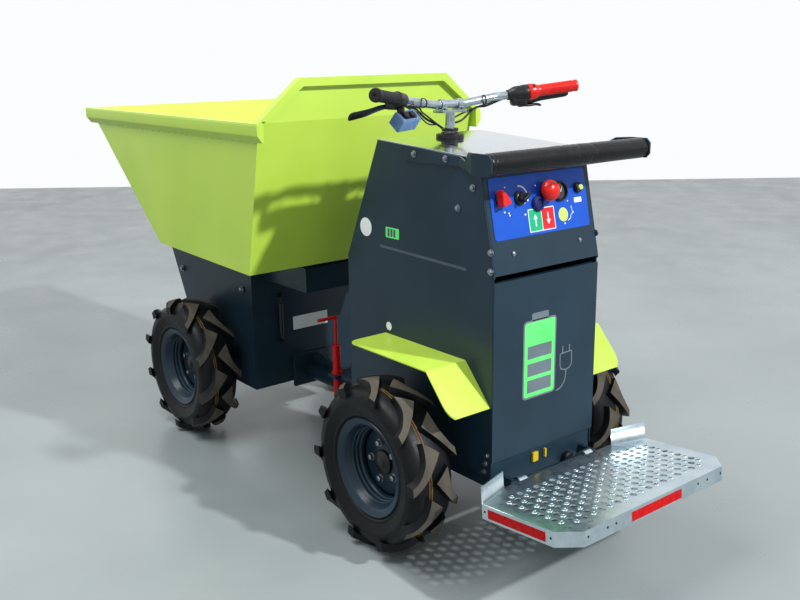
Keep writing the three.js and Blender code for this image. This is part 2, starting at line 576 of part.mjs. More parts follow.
// A folded channel behind the rear wall that the skip's floor comes down over.
function skipRestBody() {
  const r = skipRest, t = r.sheet, low = r.top - r.depth;
  const shell = block(r.rear, r.front, -r.half, r.half, low, r.top);
  return shell.subtract(block(r.rear + t, r.front - t, t - r.half, r.half - t, low - 1, r.top - t));
}
add(frontUnit, 'skip_rest', skipRestBody(), GREY);

// ---- skip ---------------------------------------------------------------------------------------
const slopeWay = new THREE.Vector2(skip.lipX - skip.noseX, skip.rimZ - skip.noseZ).normalize();
const backWay = new THREE.Vector2(skip.rearTopX - skip.rearBottomX, skip.rimZ - skip.rearBottomZ).normalize();
const floorSlope = (skip.noseZ - skip.rearBottomZ) / (skip.noseX - skip.rearBottomX);
const skipUnder = (x) => (x < skip.noseX
  ? skip.rearBottomZ + (x - skip.rearBottomX) * floorSlope
  : skip.noseZ + ((x - skip.noseX) * slopeWay.y) / slopeWay.x);

function skipTub() {
  const s = skip, w = s.wall;
  const backAt = (z) => s.rearBottomX + ((z - s.rearBottomZ) * backWay.x) / backWay.y;
  const slopeAt = (z) => s.noseX + ((z - s.noseZ) * slopeWay.x) / slopeWay.y;
  const low = s.rimZ - s.rimHeight, out = s.half + s.rimOut;
  const shell = alongY([[s.rearBottomX, s.rearBottomZ], [s.noseX, s.noseZ], [slopeAt(s.rimZ), s.rimZ],
    [backAt(s.rimZ), s.rimZ]], -s.half, s.half);
  const backIn = w / backWay.y, slopeIn = w / slopeWay.y, cavityTop = s.rimZ + 40;
  const cavity = alongY([
    [backAt(s.rearBottomZ + w) + backIn, s.rearBottomZ + w], [slopeAt(s.noseZ + w) - slopeIn, s.noseZ + w],
    [slopeAt(cavityTop) - slopeIn, cavityTop], [backAt(cavityTop) + backIn, cavityTop]], w - s.half, s.half - w);
  const rimSide = block(s.rearTopX - 20, s.lipX, s.half - 1, out, low, s.rimZ);
  const rimFront = block(slopeAt(low) - 6, s.lipX, 1 - s.half, s.half - 1, low, s.rimZ);
  const head = (inset) => [[-s.half - s.rimOut + inset, s.rimZ - 1], [s.half + s.rimOut - inset, s.rimZ - 1],
    [s.headHalf - inset * 0.4, s.headZ - inset], [inset * 0.4 - s.headHalf, s.headZ - inset]];
  const plate = alongX(head(0), s.rearTopX, s.rearTopX + w);
  const band = alongX(head(0), s.rearTopX - s.headLip, s.rearTopX + 1)
    .subtract(alongX(head(s.headBand), s.rearTopX - s.headLip - 1, s.rearTopX + 2))
    .subtract(block(s.rearTopX - 40, s.rearTopX + 5, -s.half, s.half, s.rimZ - 2, s.rimZ + 6));
  return union(shell, rimSide, mirrorY(rimSide), rimFront).subtract(cavity).add(plate).add(band);
}

// The cradle under the skip: two ribs from the hinge tube, and the eye for the tipping cylinder.
function skipCradle() {
  const t = tip, c = cylinder, s = skip, off = GAP + 0.2;
  const rear = 300, kneeX = 800;
  const rib = alongY([
    [rear, skipUnder(rear) - off], [s.noseX, s.noseZ - off], [kneeX, skipUnder(kneeX) - off * 1.6],
    [t.x + t.tubeRadius - 4, t.z + 12], [t.x, t.z - t.tubeRadius + 2], [c.eyeX, c.eyeZ - 14], [rear, c.eyeZ - 4]], 213, 223);
  const rail = alongY([[c.eyeX - 40, c.eyeZ + 4], [c.eyeX + 30, c.eyeZ + 4],
    [c.eyeX + 30, skipUnder(c.eyeX + 30) - off], [c.eyeX - 40, skipUnder(c.eyeX - 40) - off]], c.eyeHalf + 0.5, 214);
  const lug = alongY([[c.eyeX - 18, c.eyeZ - 14], [c.eyeX + 18, c.eyeZ - 14], [c.eyeX + 24, c.eyeZ + 12],
    [c.eyeX - 24, c.eyeZ + 12]], c.eyeHalf + 0.5, c.eyeHalf + 0.5 + c.lug);
  const side = union(rib, rail, lug);
  const tube = rodY(t.x, t.z, t.tubeRadius, -t.tubeHalf, t.tubeHalf, 24);
  return union(side, mirrorY(side), tube)
    .subtract(rodY(t.x, t.z, t.pinRadius + GAP, -t.tubeHalf - 1, t.tubeHalf + 1));
}
add(frontUnit, 'skip_tub', skipTub(), LIME);
add(frontUnit, 'skip_cradle', skipCradle(), GREY);

// ---- tipping cylinder: foot eye at the group's origin, rod along its +Z ---------------------------
const reach = new THREE.Vector2(cylinder.eyeX - cylinder.footX, cylinder.eyeZ - cylinder.footZ);
const ram = new THREE.Group();
ram.position.set(cylinder.footX, 0, cylinder.footZ);
ram.rotation.y = Math.PI / 2 - Math.atan2(reach.y, reach.x);
frontUnit.add(ram);

const eyeRadius = 20, mouth = reach.length() - eyeRadius - 12;
function tipCylinder() {
  const c = cylinder;
  const barrel = solid(turned([[0, eyeRadius - 6], [c.radius, eyeRadius - 6], [c.radius, mouth],
    [c.rodRadius + GAP, mouth], [c.rodRadius + GAP, eyeRadius + 22], [0, eyeRadius + 22]], 24).rotateX(Math.PI / 2));
  return union(barrel, rodY(0, 0, eyeRadius, -c.footHalf, c.footHalf)).subtract(rodY(0, 0, c.pinRadius + GAP, -40, 40));
}
function tipRod() {
  const c = cylinder, end = reach.length();
  return union(rodZ(0, 0, c.rodRadius, eyeRadius + 23, end - 12), rodY(0, end, eyeRadius - 2, -c.eyeHalf, c.eyeHalf))
    .subtract(rodY(0, end, c.pinRadius + GAP, -40, 40));
}
add(ram, 'tip_cylinder', tipCylinder(), PLASTIC);
add(ram, 'tip_rod', tipRod(), ZINC);

// ---- the origin: under the middle of the overall length -------------------------------------------
machine.position.x = -(skip.lipX + platform.hingeX + platform.rearX) / 2;
machine.position.z = tyre.radius - axleZ;

export default machine;
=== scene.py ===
import math

import bmesh
import bpy
from mathutils import Euler, Matrix, Vector


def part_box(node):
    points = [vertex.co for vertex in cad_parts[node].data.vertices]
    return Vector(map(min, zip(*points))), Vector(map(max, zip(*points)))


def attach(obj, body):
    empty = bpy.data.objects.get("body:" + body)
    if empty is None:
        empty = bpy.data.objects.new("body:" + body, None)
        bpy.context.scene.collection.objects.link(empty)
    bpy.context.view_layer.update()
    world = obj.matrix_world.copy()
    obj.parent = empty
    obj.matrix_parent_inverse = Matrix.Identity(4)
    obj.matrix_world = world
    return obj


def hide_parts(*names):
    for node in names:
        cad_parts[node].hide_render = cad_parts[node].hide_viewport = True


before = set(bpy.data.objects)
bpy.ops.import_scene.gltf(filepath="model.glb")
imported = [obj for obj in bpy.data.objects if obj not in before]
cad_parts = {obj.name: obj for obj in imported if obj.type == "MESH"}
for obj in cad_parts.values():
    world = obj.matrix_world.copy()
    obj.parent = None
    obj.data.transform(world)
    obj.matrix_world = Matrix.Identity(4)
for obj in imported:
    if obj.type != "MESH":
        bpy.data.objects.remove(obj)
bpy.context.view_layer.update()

MM = 0.001
scene = bpy.context.scene


# ---- small tools ---------------------------------------------------------------------------------
def linear(code):
    """A linear colour from an sRGB hex value."""
    parts = [int(code[i:i + 2], 16) / 255 for i in (1, 3, 5)]
    return tuple(c / 12.92 if c <= 0.04045 else ((c + 0.055) / 1.055) ** 2.4 for c in parts) + (1.0,)


def add_node(tree, kind, inputs=None, **settings):
    """Adds one node. An input is given a value, or the socket that feeds it."""
    made = tree.nodes.new(kind)
    for key, value in settings.items():
        setattr(made, key, value)
    for key, value in (inputs or {}).items():
        if isinstance(value, bpy.types.NodeSocket):
            tree.links.new(value, made.inputs[key])
        else:
            made.inputs[key].default_value = value
    return made


# ---- materials -----------------------------------------------------------------------------------
def finish_of(name, colours, roughness, patch, grain, depth, stretch=(1, 1, 1), cells=False, speck=None,
              specular=0.5, metal=0.0, coat=(0.0, 0.03)):
    """A procedural finish on Object coordinates. colours and roughness are (low, high) over soft patches
    `patch` mm wide; `grain` mm of relief stands `depth` mm high; speck is (colour, size mm, share) and
    coat is (weight, roughness)."""
    material = bpy.data.materials.new(name)
    material.use_nodes = True
    tree = material.node_tree
    tree.nodes.clear()
    place = add_node(tree, "ShaderNodeTexCoord").outputs["Object"]
    if stretch != (1, 1, 1):
        place = add_node(tree, "ShaderNodeMapping", {"Vector": place, "Scale": stretch}).outputs[0]
    soft = add_node(tree, "ShaderNodeTexNoise", {"Vector": place, "Scale": 1 / (patch * MM), "Detail": 3.0})
    tone = add_node(tree, "ShaderNodeMapRange", {"Value": soft.outputs[0], 1: 0.35, 2: 0.65})
    colour = add_node(tree, "ShaderNodeMix", {"Factor": tone.outputs[0], "A": linear(colours[0]),
                                              "B": linear(colours[1])}, data_type="RGBA").outputs["Result"]
    if speck:
        spots = add_node(tree, "ShaderNodeTexNoise", {"Vector": place, "Scale": 1 / (speck[1] * MM), "Detail": 4.0})
        share = add_node(tree, "ShaderNodeMapRange",
                         {"Value": spots.outputs[0], 1: 1 - speck[2], 2: 1.06 - speck[2]})
        colour = add_node(tree, "ShaderNodeMix", {"Factor": share.outputs[0], "A": colour,
                                                  "B": linear(speck[0])}, data_type="RGBA").outputs["Result"]
    fine = add_node(tree, "ShaderNodeTexNoise", {"Vector": place, "Scale": 4 / (patch * MM), "Detail": 2.0})
    gloss = add_node(tree, "ShaderNodeMapRange", {"Value": fine.outputs[0], 1: 0.3, 2: 0.7,
                                                  3: roughness[0], 4: roughness[1]})
    kind = "ShaderNodeTexVoronoi" if cells else "ShaderNodeTexNoise"
    relief = add_node(tree, kind, {"Vector": place, "Scale": 1 / (grain * MM)})
    bump = add_node(tree, "ShaderNodeBump", {"Height": relief.outputs[0], "Distance": depth * MM, "Strength": 1.0})
    surface = add_node(tree, "ShaderNodeBsdfPrincipled",
                       {"Base Color": colour, "Roughness": gloss.outputs[0], "Normal": bump.outputs[0],
                        "Specular IOR Level": specular, "Metallic": metal,
                        "Coat Weight": coat[0], "Coat Roughness": coat[1]})
    add_node(tree, "ShaderNodeOutputMaterial", {"Surface": surface.outputs[0]})
    return material


# Polyester powder coat on sheet steel: satin, with a fine orange peel (2.4 mm, drawn half as coarse again).
LIME = finish_of("powder_coat_lime", ("#B8D94A", "#C1E154"), (0.32, 0.42), 320, 3.6, 0.03, coat=(0.1, 0.2))
GREY = finish_of("powder_coat_anthracite", ("#1B2E3B", "#203544"), (0.28, 0.33), 260, 3.0, 0.008, specular=0.28)
# Bright zinc-plated sheet: a cool, slightly blue metal with a faint cloudy sheen.
GALVANISED = finish_of("bright_zinc_sheet", ("#B6C6CE", "#C9D6DC"), (0.26, 0.36), 70, 14, 0.002, metal=1.0)
ZINC = finish_of("zinc_plated_steel", ("#A3AFB7", "#B9C3CA"), (0.2, 0.3), 40, 3.0, 0.003, metal=1.0)
BOLT = finish_of("dulled_zinc_fastener", ("#7C858C", "#A2AAB0"), (0.26, 0.42), 9, 1.0, 0.006, metal=1.0)
# Brushed stainless sheet: long fine scratches along the machine stretch the reflections.
STAINLESS = finish_of("brushed_stainless_sheet", ("#C2CACE", "#CFD6DA"), (0.08, 0.15), 90, 1.6, 0.003,
                      stretch=(0.03, 1, 1), metal=1.0)
CHROME = finish_of("hard_chrome_rod", ("#C6CBCF", "#D6DADD"), (0.05, 0.1), 60, 1.0, 0.002, metal=1.0)
# Vulcanised tyre rubber: deep grey-black and half matt; the lug top faces are painted a lighter brown grey, a painted
# highlight where light falls on them.
TYRE = finish_of("vulcanised_tyre_rubber", ("#07090C", "#0D1014"), (0.36, 0.48), 70, 2.2, 0.04, specular=0.18)
LUG_TOP_HIGHLIGHT = finish_of("scuffed_lug_rubber", ("#4A463F", "#5A554C"), (0.8, 0.95), 40, 1.8, 0.2,
                    speck=("#474239", 5, 0.34), specular=0.2)
GRIP = finish_of("moulded_grip_rubber", ("#0C0D0F", "#131416"), (0.42, 0.55), 30, 0.9, 0.04, specular=0.35)
MARKING = finish_of("tyre_marking_ink", ("#6A5A22", "#8A7A36"), (0.7, 0.85), 30, 2.0, 0.02)
RED_MARKING = finish_of("tyre_marking_ink_red", ("#5A1A16", "#7A2A22"), (0.7, 0.85), 30, 2.0, 0.02)
CABLE = finish_of("pvc_cable_sheath", ("#0A0B0C", "#101113"), (0.4, 0.52), 40, 1.4, 0.02, specular=0.35)
# Injection-moulded plastics: fine spark-eroded texture, a millimetre across.
BLACK_ABS = finish_of("moulded_black_abs", ("#0D0E10", "#15161A"), (0.32, 0.45), 40, 1.0, 0.03, specular=0.35)
RED_ABS = finish_of("moulded_red_abs", ("#CE130C", "#DA1D14"), (0.22, 0.32), 60, 1.2, 0.01, specular=0.4)
RED_PAINT = finish_of("powder_coat_red", ("#C00C0A", "#CF1410"), (0.3, 0.42), 60, 2.6, 0.02, specular=0.3)
BLUE_ABS = finish_of("moulded_grey_blue_abs", ("#4A6E99", "#5F84B0"), (0.34, 0.48), 30, 1.0, 0.03)
NAVY_ABS = finish_of("moulded_navy_abs", ("#0B1650", "#101D60"), (0.3, 0.42), 30, 1.0, 0.02, specular=0.3)
YELLOW_ABS = finish_of("moulded_yellow_abs", ("#CDAE1C", "#DABB2A"), (0.35, 0.48), 30, 1.0, 0.03, specular=0.3)
BATTERY_CASE = finish_of("polypropylene_case", ("#26282B", "#303336"), (0.5, 0.62), 60, 1.6, 0.05)
# Vinyl cover on a foam roll: leather-like grain about 1.6 mm across, with a soft shine.
VINYL = finish_of("black_vinyl_cover", ("#07090C", "#0C0F13"), (0.26, 0.34), 60, 1.9, 0.03, cells=True, specular=0.25)
# Screen-printed polycarbonate and vinyl films: even colour under a thin glossy face.
BLUE_FILM = finish_of("printed_blue_film", ("#0F4DB8", "#1455C6"), (0.28, 0.36), 200, 2.5, 0.012, specular=0.3)
GREEN_FILM = finish_of("printed_green_film", ("#12AE76", "#18BC82"), (0.3, 0.4), 90, 2.5, 0.01, specular=0.3)
RED_FILM = finish_of("printed_red_film", ("#D42029", "#E02A32"), (0.3, 0.4), 90, 2.5, 0.01, specular=0.3)
WHITE_FILM = finish_of("white_vinyl_film", ("#E3E6E8", "#EEF0F1"), (0.32, 0.42), 90, 2.5, 0.01, specular=0.3)
LIME_FILM = finish_of("printed_pale_lime_film", ("#BFE66A", "#CDF07A"), (0.3, 0.4), 60, 2.5, 0.01, specular=0.3)
BRIGHT_FILM = finish_of("bright_green_vinyl_film", ("#5FE673", "#6DF280"), (0.32, 0.42), 90, 2.5, 0.01, specular=0.3)
SLATE_FILM = finish_of("slate_vinyl_film", ("#626D75", "#6F7A82"), (0.36, 0.46), 90, 2.5, 0.01, specular=0.3)
FAINT_FILM = finish_of("dark_slate_vinyl_film", ("#47515A", "#4F5A63"), (0.36, 0.46), 90, 2.5, 0.01, specular=0.3)
# Prismatic reflective tape: small cells under a clear face.
TAPE = finish_of("prismatic_red_tape", ("#A80306", "#D0080D"), (0.3, 0.42), 9, 4.5, 0.12, cells=True, specular=0.15)
SMOKED_LENS = finish_of("smoked_gauge_lens", ("#0A0B0D", "#101216"), (0.06, 0.1), 60, 4, 0.001, coat=(0.6, 0.04))


def new_object(name, data):
    made = bpy.data.objects.new(name, data)
    scene.collection.objects.link(made)
    return made


def evaluated(thing):
    """The object's mesh with its modifiers applied."""
    return bpy.data.meshes.new_from_object(thing.evaluated_get(bpy.context.evaluated_depsgraph_get()))


def as_mesh(name, body):
    """A mesh in metres from a bmesh in millimetres, which is used up."""
    body.transform(Matrix.Scale(MM, 4))
    mesh = bpy.data.meshes.new(name)
    body.to_mesh(mesh)
    body.free()
    return mesh


def cad_mm(node):
    """The low and high corners of a CAD node, in millimetres."""
    return [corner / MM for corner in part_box(node)]


# ---- mesh tools: everything here is a bmesh in millimetres -------------------------------------------
def round_edges(body, width, segments=2, angle=28):
    edges = [e for e in body.edges if len(e.link_faces) == 2 and e.calc_face_angle(0) > math.radians(angle)]
    if width and edges:
        bmesh.ops.bevel(body, geom=edges, offset=width, segments=segments, profile=0.6, affect="EDGES",
                        clamp_overlap=True)
    return body


def from_points(points, faces):
    body = bmesh.new()
    corners = [body.verts.new(p) for p in points]
    for face in faces:
        body.faces.new([corners[i] for i in face])
    bmesh.ops.recalc_face_normals(body, faces=body.faces)
    return body


def box(low, high, edge=0.0, segments=2):
    (x0, y0, z0), (x1, y1, z1) = low, high
    points = [(x, y, z) for x in (x0, x1) for y in (y0, y1) for z in (z0, z1)]
    faces = [(0, 1, 3, 2), (4, 6, 7, 5), (0, 4, 5, 1), (2, 3, 7, 6), (0, 2, 6, 4), (1, 5, 7, 3)]
    return round_edges(from_points(points, faces), edge, segments)


def prism(outline, low, high, edge=0.0, segments=2):
    """An outline of (x, y) points raised from low to high along Z."""
    count = len(outline)
    points = [(x, y, z) for z in (low, high) for x, y in outline]
    sides = [(i, (i + 1) % count, count + (i + 1) % count, count + i) for i in range(count)]
    return round_edges(from_points(points, [tuple(range(count)), tuple(range(count, 2 * count)), *sides]), edge,
                       segments, 40)


def rounded(width, height, radius, steps=5, centre=(0, 0)):
    """A rectangle outline with round corners."""
    out = []
    for sx, sy, start in ((1, 1, 0), (-1, 1, 90), (-1, -1, 180), (1, -1, 270)):
        for k in range(steps + 1):
            turn = math.radians(start + 90 * k / steps)
            out.append((centre[0] + sx * (width / 2 - radius) + radius * math.cos(turn),
                        centre[1] + sy * (height / 2 - radius) + radius * math.sin(turn)))
    return out


def circle(radius, count=24, centre=(0, 0), squeeze=1.0):
    return [(centre[0] + radius * squeeze * math.cos(2 * math.pi * k / count),
             centre[1] + radius * math.sin(2 * math.pi * k / count)) for k in range(count)]


def lathe(profile, count=48, axis="Z"):
    """A closed turned body: (radius, height) points, from pole to pole or as a closed ring."""
    ring = profile[0][0] > 1e-6
    points, rows = [], []
    for radius, height in profile:
        if radius < 1e-6:
            rows.append([len(points)] * count)
            points.append((0, 0, height))
        else:
            rows.append(list(range(len(points), len(points) + count)))
            points += [(radius * math.cos(2 * math.pi * k / count), radius * math.sin(2 * math.pi * k / count), height)
                       for k in range(count)]
    faces = []
    for a, b in zip(rows, rows[1:] + (rows[:1] if ring else [])):
        for k in range(count):
            face = [a[k], a[(k + 1) % count], b[(k + 1) % count], b[k]]
            face = [v for i, v in enumerate(face) if v not in face[:i]]
            if len(face) > 2:
                faces.append(tuple(face))
    body = from_points(points, faces)
    if axis == "Y":
        body.transform(Matrix.Rotation(math.radians(-90), 4, "X"))
    return body


def smooth_path(points, steps=8):
    """A Catmull-Rom line through the points."""
    p = [Vector(q) for q in points]
    p = [2 * p[0] - p[1], *p, 2 * p[-1] - p[-2]]
    out = []
    for i in range(1, len(p) - 2):
        for k in range(steps):
            t = k / steps
            out.append(0.5 * (2 * p[i] + (p[i + 1] - p[i - 1]) * t
                              + (2 * p[i - 1] - 5 * p[i] + 4 * p[i + 1] - p[i + 2]) * t * t
                              + (3 * p[i] - p[i - 1] - 3 * p[i + 1] + p[i + 2]) * t ** 3))
    return [*out, p[-2]]


def sweep(path, radii, sides=16, flat=1.0, normal=(0, 0, 1)):
    """A closed tube along a path. radii are (share along, radius); flat squeezes it along the normal."""
    def radius_at(t):
        for (t0, r0), (t1, r1) in zip(radii, radii[1:]):
            if t <= t1:
                return r0 + (r1 - r0) * (t - t0) / max(t1 - t0, 1e-9)
        return radii[-1][1]
    radii = [(0, radii), (1, radii)] if isinstance(radii, (int, float)) else radii
    points, rows, up = [], [], Vector(normal)
    for i, at in enumerate(path):
        ahead = (path[min(i + 1, len(path) - 1)] - path[max(i - 1, 0)]).normalized()
        up = (up - ahead * up.dot(ahead)).normalized()
        side, r = ahead.cross(up), radius_at(i / (len(path) - 1))
        rows.append(range(len(points), len(points) + sides))
        for k in range(sides):
            turn = 2 * math.pi * k / sides
            points.append(at + side * (r * math.cos(turn)) + up * (r * flat * math.sin(turn)))
    faces = [tuple(rows[0]), tuple(rows[-1])]
    for a, b in zip(rows, rows[1:]):
        faces += [(a[k], a[(k + 1) % sides], b[(k + 1) % sides], b[k]) for k in range(sides)]
    return from_points(points, faces)


def from_cad(node, edge, segments=2, angle=28):
    """A merged copy of a CAD node with its edges rounded."""
    body = bmesh.new()
    body.from_mesh(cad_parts[node].data)
    body.transform(Matrix.Scale(1 / MM, 4))
    bmesh.ops.remove_doubles(body, verts=body.verts, dist=0.02)
    bmesh.ops.dissolve_limit(body, angle_limit=math.radians(1), verts=body.verts, edges=body.edges)
    bmesh.ops.triangulate(body, faces=[f for f in body.faces if len(f.verts) > 4])   # ring faces stay open
    return round_edges(body, edge, segments, angle)


class Piece:
    """Collects closed bodies in millimetres, then becomes one object that rides on a CAD body."""
    def __init__(self):
        self.body, self.materials = bmesh.new(), []

    def add(self, shape, material, place=None):
        """shape is a bmesh in mm, or a plain mesh in metres that already has its materials."""
        own = isinstance(shape, bpy.types.Mesh)
        mesh = shape if own else as_mesh("part", shape)
        place = Matrix() if place is None else place
        if place.determinant() < 0:
            mesh.flip_normals()
        mesh.transform(Matrix.Scale(MM, 4) @ place @ Matrix.Scale(1 / MM, 4))
        kept = [m for m in mesh.materials] if own and mesh.materials else [material]
        before = len(self.body.faces)
        self.body.from_mesh(mesh)
        self.body.faces.ensure_lookup_table()
        for material in kept:
            if material not in self.materials:
                self.materials.append(material)
        for face in self.body.faces[before:]:
            face.material_index = self.materials.index(kept[face.material_index if own and mesh.materials else 0])
        return self

    def film(self, outline, material, place, base, thick):
        """A thin print that starts `base` mm off the face."""
        return self.add(prism(outline, base, base + thick), material, place)

    def finish(self, name, body, slot=None, stands_for=(), smooth=34):
        mesh = bpy.data.meshes.new(name)
        self.body.to_mesh(mesh)
        self.body.free()
        for material in self.materials:
            mesh.materials.append(material)
        mesh.shade_smooth()
        mesh.set_sharp_from_angle(angle=math.radians(smooth))
        rough = new_object(name + "_work", mesh)
        even = rough.modifiers.new("even", "WEIGHTED_NORMAL")
        even.keep_sharp = True
        done = evaluated(rough)
        bpy.data.objects.remove(rough)
        made = new_object(name, done)
        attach(made, body)
        if stands_for:
            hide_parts(*stands_for)
        return made


def rounded_copy(node, name, body, slot, material, edge, segments=2):
    """One piece that is its CAD node with rounded edges."""
    return Piece().add(from_cad(node, edge, segments), material).finish(name, body, slot, [node])


def disc(radius, low, high, sides):
    return lathe([(0, low), (radius, low), (radius, high), (0, high)], sides)


def at(x, y, z, turn=(0, 0, 0)):
    return Matrix.Translation((x, y, z)) @ Euler([math.radians(a) for a in turn]).to_matrix().to_4x4()


def basis(origin, x, y, z):
    return Matrix.Translation(origin) @ Matrix((x, y, z)).transposed().to_4x4()


# ---- geometry nodes: what repeats ------------------------------------------------------------------
def new_tree(name, inputs):
    """A tree with a geometry input and output and named inputs: (name, socket type, default)."""
    tree = bpy.data.node_groups.new(name, "GeometryNodeTree")
    tree.interface.new_socket(name="Geometry", in_out="INPUT", socket_type="NodeSocketGeometry")
    tree.interface.new_socket(name="Geometry", in_out="OUTPUT", socket_type="NodeSocketGeometry")
    for label, kind, value in inputs:
        socket = tree.interface.new_socket(name=label, in_out="INPUT", socket_type=kind)
        if value is not None:
            socket.default_value = value
    return tree, add_node(tree, "NodeGroupInput").outputs


def close_tree(tree, geometry, material):
    real = add_node(tree, "GeometryNodeRealizeInstances", {"Geometry": geometry})
    painted = add_node(tree, "GeometryNodeSetMaterial", {"Geometry": real.outputs[0], "Material": material})
    add_node(tree, "NodeGroupOutput", {"Geometry": painted.outputs[0]})
    return tree


def run_tree(tree, mesh, **values):
    """The tree's result on a mesh in metres, as a plain mesh."""
    work = new_object("work", mesh)
    modifier = work.modifiers.new("nodes", "NODES")
    modifier.node_group = tree
    for item in tree.interface.items_tree:
        key = item.name.replace(" ", "_").lower()
        if item.in_out == "INPUT" and key in values:
            modifier[item.identifier] = values[key]
    work.update_tag()
    done = evaluated(work)
    bpy.data.objects.remove(work)
    return done


def points_mesh(points, directions=None):
    """Points in mm as a mesh in metres, with the way each faces."""
    mesh = bpy.data.meshes.new("points")
    mesh.from_pydata([Vector(p) * MM for p in points], [], [])
    if directions:
        attribute = mesh.attributes.new("facing", "FLOAT_VECTOR", "POINT")
        attribute.data.foreach_set("vector", [c for d in directions for c in d])
    return mesh


def fastener_tree():
    """Washer and hexagon head on every point, facing its own way, each with its own spin."""
    tree, given = new_tree("fasteners", [
        ("Washer Radius", "NodeSocketFloat", 0.009), ("Head Radius", "NodeSocketFloat", 0.0065),
        ("Head Height", "NodeSocketFloat", 0.005), ("Head Sides", "NodeSocketInt", 6),
        ("Seed", "NodeSocketInt", 4), ("Material", "NodeSocketMaterial", None)])
    washer = add_node(tree, "GeometryNodeMeshCylinder",
                      {"Vertices": 20, "Radius": given["Washer Radius"], "Depth": 0.0016})
    washer = add_node(tree, "GeometryNodeTransform", {"Geometry": washer.outputs[0], "Translation": (0, 0, 0.0008)})
    head = add_node(tree, "GeometryNodeMeshCylinder", {"Vertices": given["Head Sides"], "Radius": given["Head Radius"],
                                                       "Depth": given["Head Height"]})
    half = add_node(tree, "ShaderNodeMath", {0: given["Head Height"], 1: 0.5, 2: 0.0014}, operation="MULTIPLY_ADD")
    lift = add_node(tree, "ShaderNodeCombineXYZ", {"Z": half.outputs[0]})
    head = add_node(tree, "GeometryNodeTransform", {"Geometry": head.outputs[0], "Translation": lift.outputs[0]})
    dome = add_node(tree, "GeometryNodeMeshUVSphere", {"Segments": 16, "Rings": 6, "Radius": given["Head Radius"]})
    top = add_node(tree, "ShaderNodeMath", {0: given["Head Height"], 1: 0.0010}, operation="ADD")
    raised = add_node(tree, "ShaderNodeCombineXYZ", {"Z": top.outputs[0]})
    dome = add_node(tree, "GeometryNodeTransform", {"Geometry": dome.outputs[0], "Translation": raised.outputs[0],
                                                    "Scale": (0.84, 0.84, 0.18)})
    whole = add_node(tree, "GeometryNodeJoinGeometry")
    for part in (washer, head, dome):
        tree.links.new(part.outputs[0], whole.inputs[0])
    facing = add_node(tree, "GeometryNodeInputNamedAttribute", {"Name": "facing"}, data_type="FLOAT_VECTOR")
    turned = add_node(tree, "FunctionNodeAlignRotationToVector", {"Vector": facing.outputs[0]}, axis="Z")
    spin = add_node(tree, "FunctionNodeRandomValue", {2: 0.0, 3: 6.283, "Seed": given["Seed"]}, data_type="FLOAT")
    about = add_node(tree, "FunctionNodeAxisAngleToRotation", {"Axis": (0, 0, 1), "Angle": spin.outputs[1]})
    rotation = add_node(tree, "FunctionNodeRotateRotation",
                        {"Rotation": turned.outputs[0], "Rotate By": about.outputs[0]}, rotation_space="LOCAL")
    points = add_node(tree, "GeometryNodeMeshToPoints", {"Mesh": given["Geometry"]})
    set_out = add_node(tree, "GeometryNodeInstanceOnPoints", {"Points": points.outputs[0], "Instance": whole.outputs[0],
                                                              "Rotation": rotation.outputs[0]})
    return close_tree(tree, set_out.outputs[0], given["Material"])


FASTENERS = fastener_tree()


def fasteners(name, body, places, washer=9.0, head=6.2, height=5.0, sides=6, material=BOLT, slot="zinc_steel"):
    """places are (point in mm, direction)."""
    mesh = run_tree(FASTENERS, points_mesh([p for p, _ in places], [Vector(d).normalized() for _, d in places]),
                    washer_radius=washer * MM, head_radius=head * MM, head_height=height * MM, head_sides=sides,
                    material=material)
    return Piece().add(mesh, material).finish(name, body, slot)


def bead_tree():
    """Small flattened beads along the points of a line, each a little different, as short welds."""
    tree, given = new_tree("weld_beads", [
        ("Length", "NodeSocketFloat", 0.011), ("Height", "NodeSocketFloat", 0.003), ("Seed", "NodeSocketInt", 9),
        ("Material", "NodeSocketMaterial", None)])
    bead = add_node(tree, "GeometryNodeMeshUVSphere", {"Segments": 10, "Rings": 6, "Radius": 1.0})
    size = add_node(tree, "ShaderNodeCombineXYZ", {"X": given["Length"], "Y": given["Height"], "Z": given["Height"]})
    bead = add_node(tree, "GeometryNodeTransform", {"Geometry": bead.outputs[0], "Scale": size.outputs[0]})
    vary = add_node(tree, "FunctionNodeRandomValue", {2: 0.8, 3: 1.15, "Seed": given["Seed"]}, data_type="FLOAT")
    facing = add_node(tree, "GeometryNodeInputNamedAttribute", {"Name": "facing"}, data_type="FLOAT_VECTOR")
    turned = add_node(tree, "FunctionNodeAlignRotationToVector", {"Vector": facing.outputs[0]}, axis="X")
    points = add_node(tree, "GeometryNodeMeshToPoints", {"Mesh": given["Geometry"]})
    set_out = add_node(tree, "GeometryNodeInstanceOnPoints", {"Points": points.outputs[0], "Instance": bead.outputs[0],
                                                              "Rotation": turned.outputs[0], "Scale": vary.outputs[1]})
    return close_tree(tree, set_out.outputs[0], given["Material"])


